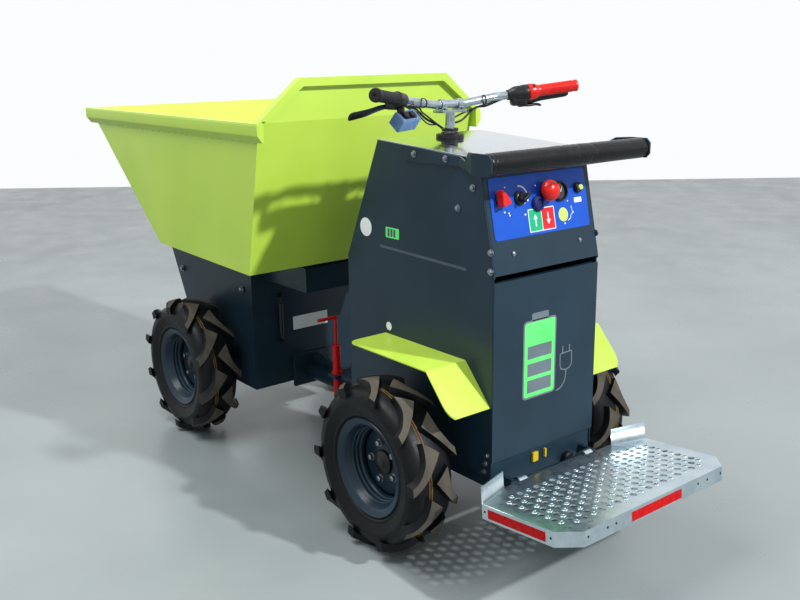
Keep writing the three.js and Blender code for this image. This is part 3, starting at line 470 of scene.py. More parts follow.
def ring_tree():
    """Repeats a mesh round the Y axis. Faces marked for painted highlight take a second material, a lighter painted
    highlight.
    """
    tree, given = new_tree("round_the_axle", [
        ("Count", "NodeSocketInt", 10), ("Material", "NodeSocketMaterial", None),
        ("Worn Material", "NodeSocketMaterial", None)])
    line = add_node(tree, "GeometryNodeMeshLine", {"Count": given["Count"], "Offset": (0, 0, 0)}, mode="OFFSET")
    points = add_node(tree, "GeometryNodeMeshToPoints", {"Mesh": line.outputs[0]})
    index = add_node(tree, "GeometryNodeInputIndex")
    share = add_node(tree, "ShaderNodeMath", {0: index.outputs[0], 1: given["Count"]}, operation="DIVIDE")
    angle = add_node(tree, "ShaderNodeMath", {0: share.outputs[0], 1: 2 * math.pi}, operation="MULTIPLY")
    turned = add_node(tree, "FunctionNodeAxisAngleToRotation", {"Axis": (0, 1, 0), "Angle": angle.outputs[0]})
    set_out = add_node(tree, "GeometryNodeInstanceOnPoints", {
        "Points": points.outputs[0], "Instance": given["Geometry"], "Rotation": turned.outputs[0]})
    real = add_node(tree, "GeometryNodeRealizeInstances", {"Geometry": set_out.outputs[0]})
    base = add_node(tree, "GeometryNodeSetMaterial", {"Geometry": real.outputs[0], "Material": given["Material"]})
    # Marked faces take the painted highlight material.
    worn = add_node(tree, "GeometryNodeInputNamedAttribute", {"Name": "worn"}, data_type="BOOLEAN")
    last = add_node(tree, "GeometryNodeSetMaterial", {"Geometry": base.outputs[0], "Selection": worn.outputs[0],
                                                      "Material": given["Worn Material"]})
    add_node(tree, "NodeGroupOutput", {"Geometry": last.outputs[0]})
    return tree


def perforation_tree():
    """Cuts a staggered field of holes through a deck, and sets a raised collar round every other one."""
    tree, given = new_tree("anti_slip_perforation", [
        ("Columns", "NodeSocketInt", 11), ("Rows", "NodeSocketInt", 19), ("Pitch X", "NodeSocketFloat", 0.022),
        ("Pitch Y", "NodeSocketFloat", 0.031), ("Centre X", "NodeSocketFloat", -0.19),
        ("Corner Limit", "NodeSocketFloat", 0.38), ("Hole Radius", "NodeSocketFloat", 0.0094),
        ("Collar Hole Radius", "NodeSocketFloat", 0.0048), ("Top", "NodeSocketFloat", 0.014),
        ("Collar", "NodeSocketObject", None), ("Material", "NodeSocketMaterial", None)])

    def math_node(operation, a, b=0.0, c=0.0):
        return add_node(tree, "ShaderNodeMath", {0: a, 1: b, 2: c}, operation=operation).outputs[0]
    wide = math_node("MULTIPLY", math_node("SUBTRACT", given["Columns"], 1), given["Pitch X"])
    long = math_node("MULTIPLY", math_node("SUBTRACT", given["Rows"], 1), given["Pitch Y"])
    grid = add_node(tree, "GeometryNodeMeshGrid", {"Size X": wide, "Size Y": long, "Vertices X": given["Columns"],
                                                   "Vertices Y": given["Rows"]})
    shift = add_node(tree, "ShaderNodeCombineXYZ", {"X": given["Centre X"], "Z": given["Top"]})
    field = add_node(tree, "GeometryNodeTransform", {"Geometry": grid.outputs[0], "Translation": shift.outputs[0]})
    points = add_node(tree, "GeometryNodeMeshToPoints", {"Mesh": field.outputs[0]})
    index = add_node(tree, "GeometryNodeInputIndex").outputs[0]
    column = math_node("FLOOR", math_node("DIVIDE", math_node("ADD", index, 0.5), given["Rows"]))
    row = math_node("SUBTRACT", index, math_node("MULTIPLY", column, given["Rows"]))
    odd = math_node("FLOORED_MODULO", math_node("ADD", column, row), 2.0)
    spot = add_node(tree, "ShaderNodeSeparateXYZ", {0: add_node(tree, "GeometryNodeInputPosition").outputs[0]})
    away = math_node("ADD", math_node("ABSOLUTE", math_node("SUBTRACT", spot.outputs[0], given["Centre X"])),
                     math_node("ABSOLUTE", spot.outputs[1]))
    keep = math_node("LESS_THAN", away, given["Corner Limit"])
    plain = math_node("MULTIPLY", keep, math_node("LESS_THAN", odd, 0.5))
    raised = math_node("MULTIPLY", keep, math_node("GREATER_THAN", odd, 0.5))
    cutters = add_node(tree, "GeometryNodeJoinGeometry")
    for chosen, radius in ((plain, given["Hole Radius"]), (raised, given["Collar Hole Radius"])):
        punch = add_node(tree, "GeometryNodeMeshCylinder", {"Vertices": 14, "Radius": radius, "Depth": 0.02})
        there = add_node(tree, "GeometryNodeInstanceOnPoints", {"Points": points.outputs[0], "Selection": chosen,
                                                                "Instance": punch.outputs[0]})
        tree.links.new(there.outputs[0], cutters.inputs[0])
    punches = add_node(tree, "GeometryNodeRealizeInstances", {"Geometry": cutters.outputs[0]})
    cut = add_node(tree, "GeometryNodeMeshBoolean", {"Mesh 1": given["Geometry"], "Mesh 2": punches.outputs[0]},
                   operation="DIFFERENCE", solver="EXACT")
    collar = add_node(tree, "GeometryNodeObjectInfo", {"Object": given["Collar"]})
    collars = add_node(tree, "GeometryNodeInstanceOnPoints", {"Points": points.outputs[0], "Selection": raised,
                                                              "Instance": collar.outputs["Geometry"]})
    both = add_node(tree, "GeometryNodeJoinGeometry")
    for part in (cut.outputs[0], collars.outputs[0]):
        tree.links.new(part, both.inputs[0])
    return close_tree(tree, both.outputs[0], given["Material"])


# ---- wheels ----------------------------------------------------------------------------------------
LUGS = 10                       # in each of the two rows of the farm tread
MM_PER_DEGREE = 4.36            # along the tread, at its full radius
tread_edge = ((8.5, 31), (1.5, 34), (-5.0, 40), (-11.5, 55), (-15.5, 68), (-18, 81))      # (degrees, mm across)
tread_foot = ((0, -13), (-4.5, 2), (-9, 18), (-16.5, 46), (-20.5, 63), (-24, 80))


def tread_radius(across):
    """The lug faces follow the crown of the tread."""
    return 250 - 17 * (abs(across) / 80) ** 2.6


def carcass_radius(across):
    return 233 - 23 * (abs(across) / 80) ** 3


def lug_mesh():
    """One lug of each row: a tapering bar from the crown to the shoulder, on the rear of the wheel."""
    bars = bmesh.new()
    worn = bars.faces.layers.bool.new("worn")
    for side in (1, -1):
        lead = 0 if side > 0 else 180 / LUGS
        rows = []
        upper, lower = smooth_path([(*p, 0) for p in tread_edge], 3), smooth_path([(*p, 0) for p in tread_foot], 3)
        for high, low in zip(upper, lower):
            row = []
            for share, spread, rise in ((0, -6.5, 0), (0, -1.2, 0.84), (0, 0.6, 1), (0.5, 0, 1), (1, -0.6, 1),
                                        (1, 1.2, 0.84), (1, 6.5, 0)):
                way = Vector(((high.x - low.x) * MM_PER_DEGREE, high.y - low.y)).normalized() * spread
                angle, across = low.lerp(high, share)[:2]
                angle, across = angle + way.x / MM_PER_DEGREE, across + way.y
                top, base = tread_radius(across), min(carcass_radius(across), 231) - 3
                radius, turn = base + (top - base) * rise, math.radians(angle + lead)
                row.append(bars.verts.new((-radius * math.cos(turn), side * across, radius * math.sin(turn))))
            rows.append(row)
        faces = [bars.faces.new(rows[0]), bars.faces.new(list(reversed(rows[-1])))]
        for a, b in zip(rows, rows[1:]):
            for k in range(7):
                face = bars.faces.new((a[k], b[k], b[(k + 1) % 7], a[(k + 1) % 7]))
                # The top faces of each lug are marked to take the painted highlight.
                face[worn] = k in (2, 3)
                faces.append(face)
        bmesh.ops.recalc_face_normals(bars, faces=faces)
    return as_mesh("lugs", bars)


def carcass():
    """The tyre without its lugs: a round carcass with a rim guard and two fine sidewall ribs."""
    half = [(129, 45), (129, 52), (133, 54), (146, 55), (149, 60), (153, 62.5), (157, 61.5), (161, 63), (176, 69),
            (186, 71.6), (188, 72.8), (191, 72.8), (193, 72.2), (206, 71), (216, 66), (224, 57), (229, 44),
            (232, 26), (233, 10)]
    return lathe([*half, *[(r, -y) for r, y in reversed(half)]], 96, "Y")


def rim():
    """A deep dished steel rim with a stepped drop centre, the disc set well in, and its hub hole."""
    outer = [(20.5, -34), (100, -34), (118, -46), (124, -52), (126.5, -53), (138, -54), (143.5, -57),
             (141, -59), (121, -58), (119, -54), (112, -40), (98, -12), (92, -9), (60, -8), (54, -4),
             (26, -3), (20.5, -4)]
    dish = [(120.5, -50), (118, -30), (102, -14), (99, -2), (101, 5), (105, 7), (105, 15), (109, 18),
            (109, 26), (113, 29), (114, 37), (118, 40), (119, 46), (123, 51), (129, 55), (137, 57), (142, 60),
            (144, 57.5), (143, 54),
            (128, 52.5), (126.8, 50), (126.8, 20), (120, 4), (119, -20), (124, -34), (125, -50)]
    return lathe(outer, 72, "Y"), lathe(dish, 96, "Y")


ring_of = ring_tree()
# The lug tops take the lighter painted highlight material.
lugs = run_tree(ring_of, lug_mesh(), count=LUGS, material=TYRE, worn_material=LUG_TOP_HIGHLIGHT)
for end in ("rear", "front"):
    low, high = cad_mm(end + "_left_tyre")
    axle_x, axle_z = (low.x + high.x) / 2, (low.z + high.z) / 2
    for side, sign in (("left", 1), ("right", -1)):
        low, high = cad_mm(f"{end}_{side}_tyre")
        middle = (low.y + high.y) / 2
        flip = Matrix() if sign > 0 else Matrix.Scale(-1, 4, (0, 1, 0))
        spin = Matrix.Rotation(math.radians({"rear": 24.2, "front": 2.9}[end]), 4, "Y")
        place = at(axle_x, middle, axle_z) @ flip @ spin
        wheel = f"{end}_{side}"
        tyre = Piece().add(carcass(), TYRE, place)
        tyre.add(lugs.copy(), TYRE, place)
        for across, ink in ((17, MARKING), (21, RED_MARKING), (25, MARKING)):
            ring_radius = carcass_radius(across) + 1.2
            line = [(ring_radius - 3, across - 0.7), (ring_radius, across - 0.7), (ring_radius, across + 0.7),
                    (ring_radius - 3, across + 0.7)]
            tyre.add(lathe(line, 72, "Y"), ink, place)
        tyre.finish(wheel + "_farm_tyre", wheel + "_wheel", "tyre_rubber", [wheel + "_tyre"], 40)
        wheel_rim = Piece()
        for shell in rim():
            wheel_rim.add(shell, GREY, place)
        wheel_rim.finish(wheel + "_dished_rim", wheel + "_wheel", "grey_paint", [wheel + "_rim"], 50)
        studs = [(place @ Vector((56 * math.cos(a), -4, 56 * math.sin(a))), (0, sign, 0))
                 for a in [2 * math.pi * k / 5 + 0.4 for k in range(5)]]
        fasteners(wheel + "_wheel_bolts", wheel + "_wheel", studs, 11, 8.5, 10)
    hubs = Piece().add(from_cad(end + "_axle", 0.8), GREY)
    for sign in (1, -1):
        side_y = sign * (abs(middle) - 10)
        cap = lathe([(0, 3), (36, 3), (37, 6), (36, 14), (31, 19), (18, 20), (17, 25), (0, 26)], 40)
        hubs.add(cap, BLACK_ABS, at(axle_x, side_y, axle_z, (-90 * sign, 0, 0)))
    hubs.finish(end + "_drive_axle", "rear_unit" if end == "rear" else "front_unit", "grey_paint", [end + "_axle"])

# ---- skip ------------------------------------------------------------------------------------------
tub_low, tub_high = cad_mm("skip_tub")
rim_top = tub_high.z - 128
rim_out, wall_out = tub_high.y, tub_high.y - 18
skip = Piece().add(from_cad("skip_tub", 2.2, 3), LIME)
roll, proud = 7, 1.0                          # the side rims are rolled round the folded sheet
rolled = [(wall_out - 4, rim_top + proud), (rim_out + proud - roll, rim_top + proud)]
rolled += [(rim_out + proud - roll + roll * math.sin(a), rim_top + proud - roll + roll * math.cos(a))
           for a in [math.radians(15 * k) for k in range(1, 7)]]
rolled += [(rim_out + proud, rim_top - 34), (rim_out - 1.5, rim_top - 37.5), (wall_out + 2, rim_top - 57),
           (wall_out - 2, rim_top - 58)]
rim_ends = (tub_low.x - 0.5, tub_high.x - 1)
for sign in (1, -1):
    bar = prism([(z, sign * y) for y, z in rolled], 0, rim_ends[1] - rim_ends[0], 0)
    skip.add(bar, LIME, basis((rim_ends[0], 0, 0), Vector((0, 0, 1)), Vector((0, 1, 0)), Vector((-1, 0, 0)))
             @ Matrix.Scale(-1, 4, (0, 0, 1)))
skip.finish("skip_sheet", "skip", "lime_paint", ["skip_tub"])
weld_points, weld_ways = [], []
for y in (-wall_out - 0.8, wall_out + 0.8):
    for k in range(26):
        weld_points.append((-40 + 44 * k, y, rim_top - 58.5))
        weld_ways.append((1, 0, 0))
beads = run_tree(bead_tree(), points_mesh(weld_points, weld_ways), length=10 * MM, height=3.0 * MM, material=LIME)
Piece().add(beads, LIME).finish("skip_rim_welds", "skip", "lime_paint")
rounded_copy("skip_cradle", "skip_cradle_sheet", "skip", "grey_paint", GREY, 1.4)

# ---- sheet metal of both units -----------------------------------------------------------------------
for node, width in (("cabinet_left_side", 1.2), ("cabinet_right_side", 1.2), ("cabinet_front_panel", 1.4),
                    ("rear_chassis", 1.0), ("platform_bracket", 1.0)):
    rounded_copy(node, node + "_sheet", "rear_unit", "grey_paint", GREY, width)
plate_low, plate_high = cad_mm("cabinet_top_plate")
plate_slope = (plate_high.z - plate_low.z - 2) / (plate_high.x - plate_low.x)
for node in ("lean_bar_left_arm", "lean_bar_right_arm"):      # the strip's top edge stays under the top plate
    arm = from_cad(node, 0)
    bmesh.ops.bisect_plane(arm, geom=arm.verts[:] + arm.edges[:] + arm.faces[:], plane_co=(plate_low.x, 0, 0),
                           plane_no=(1, 0, 0))
    for vertex in arm.verts:
        if vertex.co.x > plate_low.x - 1 and vertex.co.z > plate_low.z + 12:
            vertex.co.z = plate_low.z + 0.5 + (vertex.co.x - plate_low.x) * plate_slope
    Piece().add(round_edges(arm, 1.8), GREY).finish(node + "_sheet", "rear_unit", "grey_paint", [node])
for node, width in (("front_left_side", 1.6), ("front_right_side", 1.6), ("front_rear_wall", 1.4),
                    ("front_nose_plate", 1.4), ("front_floor", 1.2), ("drawbar", 1.5), ("skip_rest", 1.6)):
    rounded_copy(node, node + "_sheet", "front_unit", "grey_paint", GREY, width)
for node in ("left_fender", "right_fender"):
    rounded_copy(node, node + "_sheet", "rear_unit", "lime_paint", LIME, 1.4)
for node, name, slot, material, width, segments in (
        ("cabinet_top_plate", "stainless_top", "polished_plate", STAINLESS, 1.2, 3),
        ("battery_block", "battery_pack", "battery_case", BATTERY_CASE, 8, 3),
        ("articulation_pin", "articulation_pin_turned", "zinc_steel", ZINC, 1.2, 2),
        ("articulation_lock", "articulation_lock_bar", "red_plastic", RED_PAINT, 1.0, 2)):
    rounded_copy(node, name, "rear_unit", slot, material, width, segments)

# Battery cover: a shallow pan whose edges turn in, with a pull lip along its top.
cover_low, cover_high = cad_mm("battery_cover")
cover = Piece().add(from_cad("battery_cover", 1.5, 3), GREY)
cover.add(box((cover_high.x + 0.4, -196, cover_high.z - 14), (cover_high.x + 16, 196, cover_high.z - 1), 1.2), GREY)
cover.finish("battery_cover_pan", "rear_unit", "grey_paint", ["battery_cover"])
rear_face = cover_low.x                        # everything printed on the cover stands just proud of this
side_face = cover_high.y

# ---- control panel -----------------------------------------------------------------------------------
panel_low = cad_mm("control_panel")[0]
rounded_copy("control_panel", "control_panel_sheet", "rear_unit", "grey_paint", GREY, 1.2)
slope = Vector((63, 0, 302)).normalized()      # the panel leans forward as it rises
outward = Vector((-slope.z, 0, slope.x))
panel = basis((panel_low.x, 0, panel_low.z), Vector((0, -1, 0)), slope, outward)


overlay = Piece()
overlay.film(rounded(368, 162, 9, 6, (0, 171)), BLUE_FILM, panel, 0.3, 0.7)
label_at = (-4, 128)
overlay.film(rounded(101, 62, 2, 2, label_at), WHITE_FILM, panel, 0.9, 0.3)
overlay.film(rounded(46.5, 57, 1, 1, (label_at[0] - 24.5, label_at[1])), GREEN_FILM, panel, 1.1, 0.3)
overlay.film(rounded(46.5, 57, 1, 1, (label_at[0] + 24.5, label_at[1])), RED_FILM, panel, 1.1, 0.3)
overlay.film(circle(19, 28, (81, 131), 0.98), LIME_FILM, panel, 0.9, 0.3)
overlay.film(rounded(30, 14, 2, 2, (146, 165)), WHITE_FILM, panel, 0.9, 0.3)
for x, y, radius in ((-138, 161, 2.6), (-123, 157, 2.4), (-121, 151, 2.4), (-62, 178, 3.0), (-64, 147, 3.0),
                     (-14, 219, 2.4), (-127, 225, 2.0), (104, 166, 2.2), (116, 149, 1.8), (121, 133, 2.2),
                     (103, 116, 1.8), (84, 106, 2.6)):
    overlay.film(circle(radius, 14, (x, y)), WHITE_FILM, panel, 0.9, 0.3)
curl = smooth_path([(116, 149, 1), (118, 138, 1), (121, 133, 1), (112, 127, 1), (108, 118, 1), (96, 112, 1)], 6)
overlay.add(sweep(curl, 0.9, 6, 0.3), WHITE_FILM, panel)
for middle, way in ((label_at[0] - 24.5, 1), (label_at[0] + 24.5, -1)):      # plain arrows: one up, one down
    arrow = [(-2.2, -17), (2.2, -17), (2.2, 3), (8, 3), (0, 16), (-8, 3), (-2.2, 3)]
    overlay.film([(middle + x * way, label_at[1] + y * way) for x, y in arrow], WHITE_FILM, panel, 1.3, 0.3)
dial = [(-79 + r * math.cos(a), 192 + r * math.sin(a)) for r, order in ((34, 1), (30, -1))
        for a in [math.radians(-20 + 8 * k) for k in (range(15) if order > 0 else range(14, -1, -1))]]
overlay.film(dial, WHITE_FILM, panel, 0.9, 0.3)
overlay.finish("control_overlay", "rear_unit", "black_plastic")

controls = Piece()
stop_at = at(20, 201, 0)
mushroom = [(0, 44), (8, 43.4), (15, 41.4), (21, 37.6), (26, 31.5), (28.6, 25), (28.8, 19), (27, 14.5), (22, 12.5),
            (13, 12), (13, 3), (0, 3)]
controls.add(lathe(mushroom, 48), RED_ABS, panel @ stop_at)
controls.finish("mushroom_stop", "rear_unit", "red_plastic", ["emergency_stop"])
switches = Piece()
switches.add(lathe([(0, 1), (21, 1), (21, 10), (19, 13), (14, 14), (0, 14)], 40), BLACK_ABS, panel @ stop_at)
key_at = at(-79, 192, 0)
switches.add(lathe([(0, 1), (19, 1), (19, 7), (16.5, 10), (13, 11), (13, 17), (11, 19), (0, 19)], 36), BLACK_ABS,
             panel @ key_at)
switches.add(box((-15, -4, 18), (15, 4, 34), 1.8), BLACK_ABS, panel @ key_at @ at(0, 0, 0, (0, 0, 35)))
gauge_at = at(74, 195, 0)
switches.add(lathe([(23, 1), (27, 1), (27, 9), (25.5, 12), (22, 12.5), (21, 8), (21, 3)], 48), BLACK_ABS,
             panel @ gauge_at)
switches.add(lathe([(0, 2), (21.5, 2), (21.5, 7), (0, 8)], 40), SMOKED_LENS, panel @ gauge_at)
switches.add(box((-1.2, -2, 8), (1.2, 14, 8.8), 0.3), WHITE_FILM, panel @ gauge_at @ at(0, 0, 0, (0, 0, -30)))
socket_at = at(-15, 171, 0)
switches.add(lathe([(0, 1), (21, 1), (21, 8), (18, 12), (12, 13), (11, 9), (0, 9)], 40), NAVY_ABS, panel @ socket_at)
toggle_at = at(148, 198, 0)
switches.add(lathe([(0, 1), (14, 1), (14, 9), (12, 13), (8, 14), (0, 14)], 32), BLACK_ABS, panel @ toggle_at)
switches.add(lathe([(0, 12), (7.5, 12), (7.5, 17), (6, 19), (0, 19.5)], 28), LIME_FILM, panel @ toggle_at)
switches.finish("panel_switches", "rear_unit", "black_plastic")
isolator = Piece()
isolator_at = panel @ at(-152, 197, 0)
isolator.add(lathe([(0, 1), (15, 1), (15, 6), (13, 8), (0, 8)], 36), BLACK_ABS, isolator_at)
wing = [(-13, 21), (-7, 22), (10, 2), (17, -13), (14, -17), (3, -18), (-9, -22), (-14, -19), (-12, 2)]
isolator.add(prism(wing, 6, 30, 3.5, 3), RED_ABS, isolator_at)
isolator.finish("isolator_handle", "rear_unit", "red_plastic", ["isolator_key"])
fasteners("panel_screws", "rear_unit", [(panel @ Vector((x, y, 0.4)), outward) for x, y in ((-125, 51), (134, 54))],
          6.4, 4.6, 2.2, 16)

# ---- plain signs: battery pictogram, blank labels and stripes ----------------------------------------
cover_plane = basis((rear_face, 0, 0), Vector((0, -1, 0)), Vector((0, 0, 1)), Vector((-1, 0, 0)))
sign = Piece()
battery = (-28, 559)                          # its middle: right along -Y, then height
sign.film(rounded(130, 224, 12, 5, battery), SLATE_FILM, cover_plane, 0.2, 0.3)
sign.film(rounded(66, 22, 5, 3, (battery[0], 679)), SLATE_FILM, cover_plane, 0.2, 0.3)
sign.film(rounded(119, 213, 8, 5, battery), BRIGHT_FILM, cover_plane, 0.4, 0.3)
for middle_z in (580, 530, 482.5):
    sign.film(rounded(95, 36.5, 1.5, 1, (battery[0], middle_z)), SLATE_FILM, cover_plane, 0.6, 0.3)
for path, width in (([(43, 446), (62, 452), (76, 468), (81, 487), (81, 501)], 4.2),
                    ([(81, 501), (64, 505), (57, 517), (56, 551)], 3.6),
                    ([(81, 501), (97, 505), (104, 517), (103, 553)], 3.6),
                    ([(56, 551), (80, 552), (103, 553)], 3.6),
                    ([(66, 553), (66, 573)], 4.2), ([(94, 553), (94, 573)], 4.2)):
    line = [Vector((x, z, 0.4)) for x, z in path]
    line = smooth_path(line, 6) if len(path) > 3 else line
    sign.add(sweep(line, width / 2, 6, 0.12), SLATE_FILM, cover_plane)
sign.finish("battery_pictogram", "rear_unit", "grey_paint")

side_plane = {1: basis((0, side_face, 0), Vector((-1, 0, 0)), Vector((0, 0, 1)), Vector((0, 1, 0))),
              -1: basis((0, -side_face, 0), Vector((1, 0, 0)), Vector((0, 0, 1)), Vector((0, -1, 0)))}
marks = Piece()
for sign_y, plane in side_plane.items():
    along = -sign_y                             # local x runs towards the rear on the left side
    marks.film(circle(28, 32, (along * -288, 872)), WHITE_FILM, plane, 0.2, 0.3)
    stripe = [(along * -356, 821), (along * -356, 829), (along * -730, 819.5), (along * -730, 811.5)]
    marks.film(stripe, FAINT_FILM, plane, 0.2, 0.3)
    marks.film(rounded(62, 31, 3, 2, (along * -415, 870)), BRIGHT_FILM, plane, 0.2, 0.3)
    for k in range(3):
        marks.film(rounded(9.5, 23, 1, 1, (along * (-398 - 13.5 * k), 870)), FAINT_FILM, plane, 0.4, 0.3)
    marks.film(circle(13, 20, (along * -392, 586)), WHITE_FILM, plane, 0.2, 0.3)
marks.finish("side_stickers", "rear_unit", "grey_paint")

wall_plane = basis((cad_mm("front_rear_wall")[0].x, 0, 0), Vector((0, -1, 0)), Vector((0, 0, 1)), Vector((-1, 0, 0)))
plate = Piece().film(rounded(152, 50, 2, 2, (-10, 415)), WHITE_FILM, wall_plane, 0.2, 0.5)
plate.finish("blank_label_plate", "front_unit", "grey_paint")
stay = Piece()
stay_x, stay_y = wall_plane.translation.x - 13, 144
stay.add(lathe([(0, 372), (6, 372), (6, 392), (9, 393), (9, 500), (7, 503), (3.6, 504), (3.6, 530), (0, 530)], 24),
         BLACK_ABS, at(stay_x, stay_y, 0))
for z in (366, 533):
    stay.add(lathe([(0, -9), (8, -9), (9, -4), (9, 5), (6, 8), (0, 8)], 20), BLACK_ABS,
             at(stay_x, stay_y, z, (90, 0, 0)))
    stay.add(disc(5, 0, 15, 16), ZINC, at(stay_x - 2.2, stay_y, z, (0, 90, 0)))
stay.finish("gas_stay", "front_unit", "black_plastic")

# ---- bolts and rivets --------------------------------------------------------------------------------
body_bolts = []
for y in (1, -1):
    face = y * side_face
    body_bolts += [((x, face, z), (0, y, 0)) for x, z in ((-754, 1035), (-697, 976), (-822, 875), (-823, 825),
                                                          (-816, 311), (-810, 286), (-804, 261))]
    body_bolts += [((x, y * 210.3, z), (0, y, 0)) for x, z in ((-525, 1106), (-655, 1103))]
fasteners("cabinet_bolts", "rear_unit", body_bolts, 9.5, 6.6, 5.5)
fasteners("front_frame_bolts", "front_unit",
          [((x, y * 256, z), (0, y, 0)) for y in (1, -1) for x, z in ((395, 640), (395, 560), (470, 640), (860, 560))]
          + [((889, y * 260, 660), (0, y, 0)) for y in (1, -1)], 12, 9, 7)
latches = Piece()
chassis_rear = cad_mm("rear_chassis")[0].x
for y, wide, low, high in ((33, 21, 252, 280), (-8, 6, 254, 280)):
    latches.add(box((chassis_rear - 9, y - wide / 2, low), (chassis_rear - 0.3, y + wide / 2, high), 2, 3), YELLOW_ABS)
latches.add(lathe([(0, 0), (20, 0), (20, 16), (14, 20), (0, 20)], 32), BLACK_ABS,
            at(chassis_rear - 0.3, -100, 224, (0, -90, 0)))
latches.finish("charging_covers", "rear_unit", "black_plastic")

# ---- lean bar: a foam roll in a vinyl cover ------------------------------------------------------------
pad_low, pad_high = cad_mm("lean_bar_pad")
pad_x, pad_z, pad_half = (pad_low.x + pad_high.x) / 2, (pad_low.z + pad_high.z) / 2, pad_high.y


# (middle mm, depth mm, width mm, lean, angle where it is deepest)
CREASES = ((-42, 1.0, 4.5, 1, 2.6), (-58, 0.8, 5, -1, 2.2), (-30, 0.5, 4, 2, 2.9), (150, 0.25, 9, 1, 2.0),
           (-190, 0.3, 9, -2, 1.4))


def padded_roll():
    """The roll is swelled as cloth under pressure, then its seam, end gathers and creases are drawn in."""
    start = 27.6
    turned_roll = lathe([(0, -pad_half + 1), (start - 6, -pad_half + 1), (start, -pad_half + 7), (start, pad_half - 7),
                         (start - 6, pad_half - 1), (0, pad_half - 1)], 48, "Y")
    turned_roll.transform(at(pad_x, 0, pad_z))
    roll = new_object("roll", as_mesh("roll", turned_roll))
    remesh = roll.modifiers.new("voxels", "REMESH")
    remesh.mode, remesh.voxel_size = "VOXEL", 5 * MM
    mesh = evaluated(roll)
    roll.modifiers.clear()
    roll.data = mesh
    rest = [v.co.copy() for v in mesh.vertices]
    cloth = roll.modifiers.new("cloth", "CLOTH")
    cloth.settings.use_pressure = True
    cloth.settings.uniform_pressure_force = 4
    cloth.settings.effector_weights.gravity = 0
    cloth.settings.shrink_min = -0.06
    cloth.point_cache.frame_start, cloth.point_cache.frame_end = 1, 20
    for step in range(1, 21):
        scene.frame_set(step)
    swelled = evaluated(roll)
    roll.modifiers.clear()
    scene.frame_set(1)
    cap = 2.6 * MM
    for vertex, place in zip(swelled.vertices, rest):
        move = vertex.co - place
        vertex.co = place + (move if move.length < cap else move * (cap / move.length))
    roll.data = swelled
    body = bmesh.new()
    body.from_mesh(roll.data)
    bpy.data.objects.remove(roll)
    body.transform(Matrix.Scale(1 / MM, 4))
    bmesh.ops.subdivide_edges(body, edges=body.edges, cuts=1, smooth=0.6, use_grid_fill=True)
    for vertex in body.verts:
        x, y, z = vertex.co.x - pad_x, vertex.co.y, vertex.co.z - pad_z
        radius, turn = math.hypot(x, z), math.atan2(z, x)
        if radius < 20:
            continue
        seam = 1.4 * math.exp(-((turn + 1.25) / 0.05) ** 2)                       # sewn along the underside
        piping = 0.9 * math.exp(-((abs(y) - pad_half + 16) / 2.2) ** 2)
        gather = 0.25 * math.sin(13 * turn) * math.exp(-(abs(abs(y) - pad_half) / 16))
        creases = sum(depth * math.exp(-((y - where - lean * turn * 9) / wide) ** 2)
                      * (0.6 + 0.4 * math.cos(turn - phase)) for where, depth, wide, lean, phase in CREASES)
        ripple = 0.12 * math.sin(y / 41 + 2 * turn)
        aim = min(radius - seam - piping + gather - creases + ripple, 30.4)
        vertex.co.x, vertex.co.z = pad_x + x * aim / radius, pad_z + z * aim / radius
    return body


lean_pad = Piece().add(padded_roll(), VINYL)
lean_pad = lean_pad.finish("lean_bar_cushion", "rear_unit", "black_rubber", ["lean_bar_pad"], 80)

# ---- steering ------------------------------------------------------------------------------------------
bearing_low, bearing_high = cad_mm("column_bearing")
column_x = (bearing_low.x + bearing_high.x) / 2
rounded_copy("column_bearing", "column_bearing_cast", "rear_unit", "black_plastic", BLACK_ABS, 0.8)
ring_bolts = [((column_x + 33 * math.cos(a), 33 * math.sin(a), bearing_high.z - 15 + 1.8 * math.cos(a)), (0, 0, 1))
              for a in [math.pi / 4 + math.pi / 2 * k for k in range(4)]]
fasteners("bearing_bolts", "rear_unit", ring_bolts, 6.5, 4.8, 4)

stem_low, stem_high = cad_mm("steering_column")
bar_z = stem_high.z - 8
column = Piece().add(lathe([(0, stem_low.z), (14, stem_low.z), (14, bar_z - 24), (0, bar_z - 24)], 40), ZINC,
                     at(column_x, 0, 0))
column.add(prism(rounded(52, 96, 9, 6), bar_z - 24, bar_z - 16, 1.2), ZINC, at(column_x, 0, 0))
for y in (-32, 32):                            # a saddle and a strap hold the bar on each side
    column.add(box((column_x - 17, y - 8, bar_z - 16.5), (column_x + 17, y + 8, bar_z - 7), 1.5), ZINC)
    column.add(lathe([(12.2, -8), (15, -8), (15, 8), (12.2, 8)], 32, "Y"), ZINC, at(column_x, y, bar_z))
column.finish("steering_stem", "handlebar", "zinc_steel", ["steering_column"])
fasteners("stem_bolts", "handlebar", [((column_x + x, y, bar_z - 16), (0, 0, 1)) for x in (-21, 21) for y in (-32, 32)],
          5, 4, 4)
bar_end = Vector((-485, 215, 1249))
grip_way = Vector((-68, 120, 16)).normalized()
GRIP_END = 196
half_bar = [Vector((column_x, 0, bar_z)), Vector((column_x, 30, bar_z)), Vector((column_x, 60, bar_z)),
            bar_end - grip_way * 70, bar_end - grip_way * 35, bar_end + grip_way * 34]
mirrored = [Vector((p.x, -p.y, p.z)) for p in half_bar[:0:-1]]
handlebar = Piece().add(sweep(smooth_path([*mirrored, *half_bar], 10), 12, 28), ZINC)
handlebar.finish("bent_handlebar", "handlebar", "zinc_steel", ["handlebar_tube"], 60)


def bar_frame(sign_y):
    """At a bar end: local Y runs out along the grip, local Z stays up."""
    way = Vector((grip_way.x, sign_y * grip_way.y, grip_way.z))
    turn = Vector((0, sign_y, 0)).rotation_difference(way).to_matrix().to_4x4()
    flip = Matrix() if sign_y > 0 else Matrix.Scale(-1, 4, (0, 1, 0))
    return Matrix.Translation((bar_end.x, sign_y * bar_end.y, bar_end.z)) @ turn @ flip


left, right = bar_frame(1), bar_frame(-1)


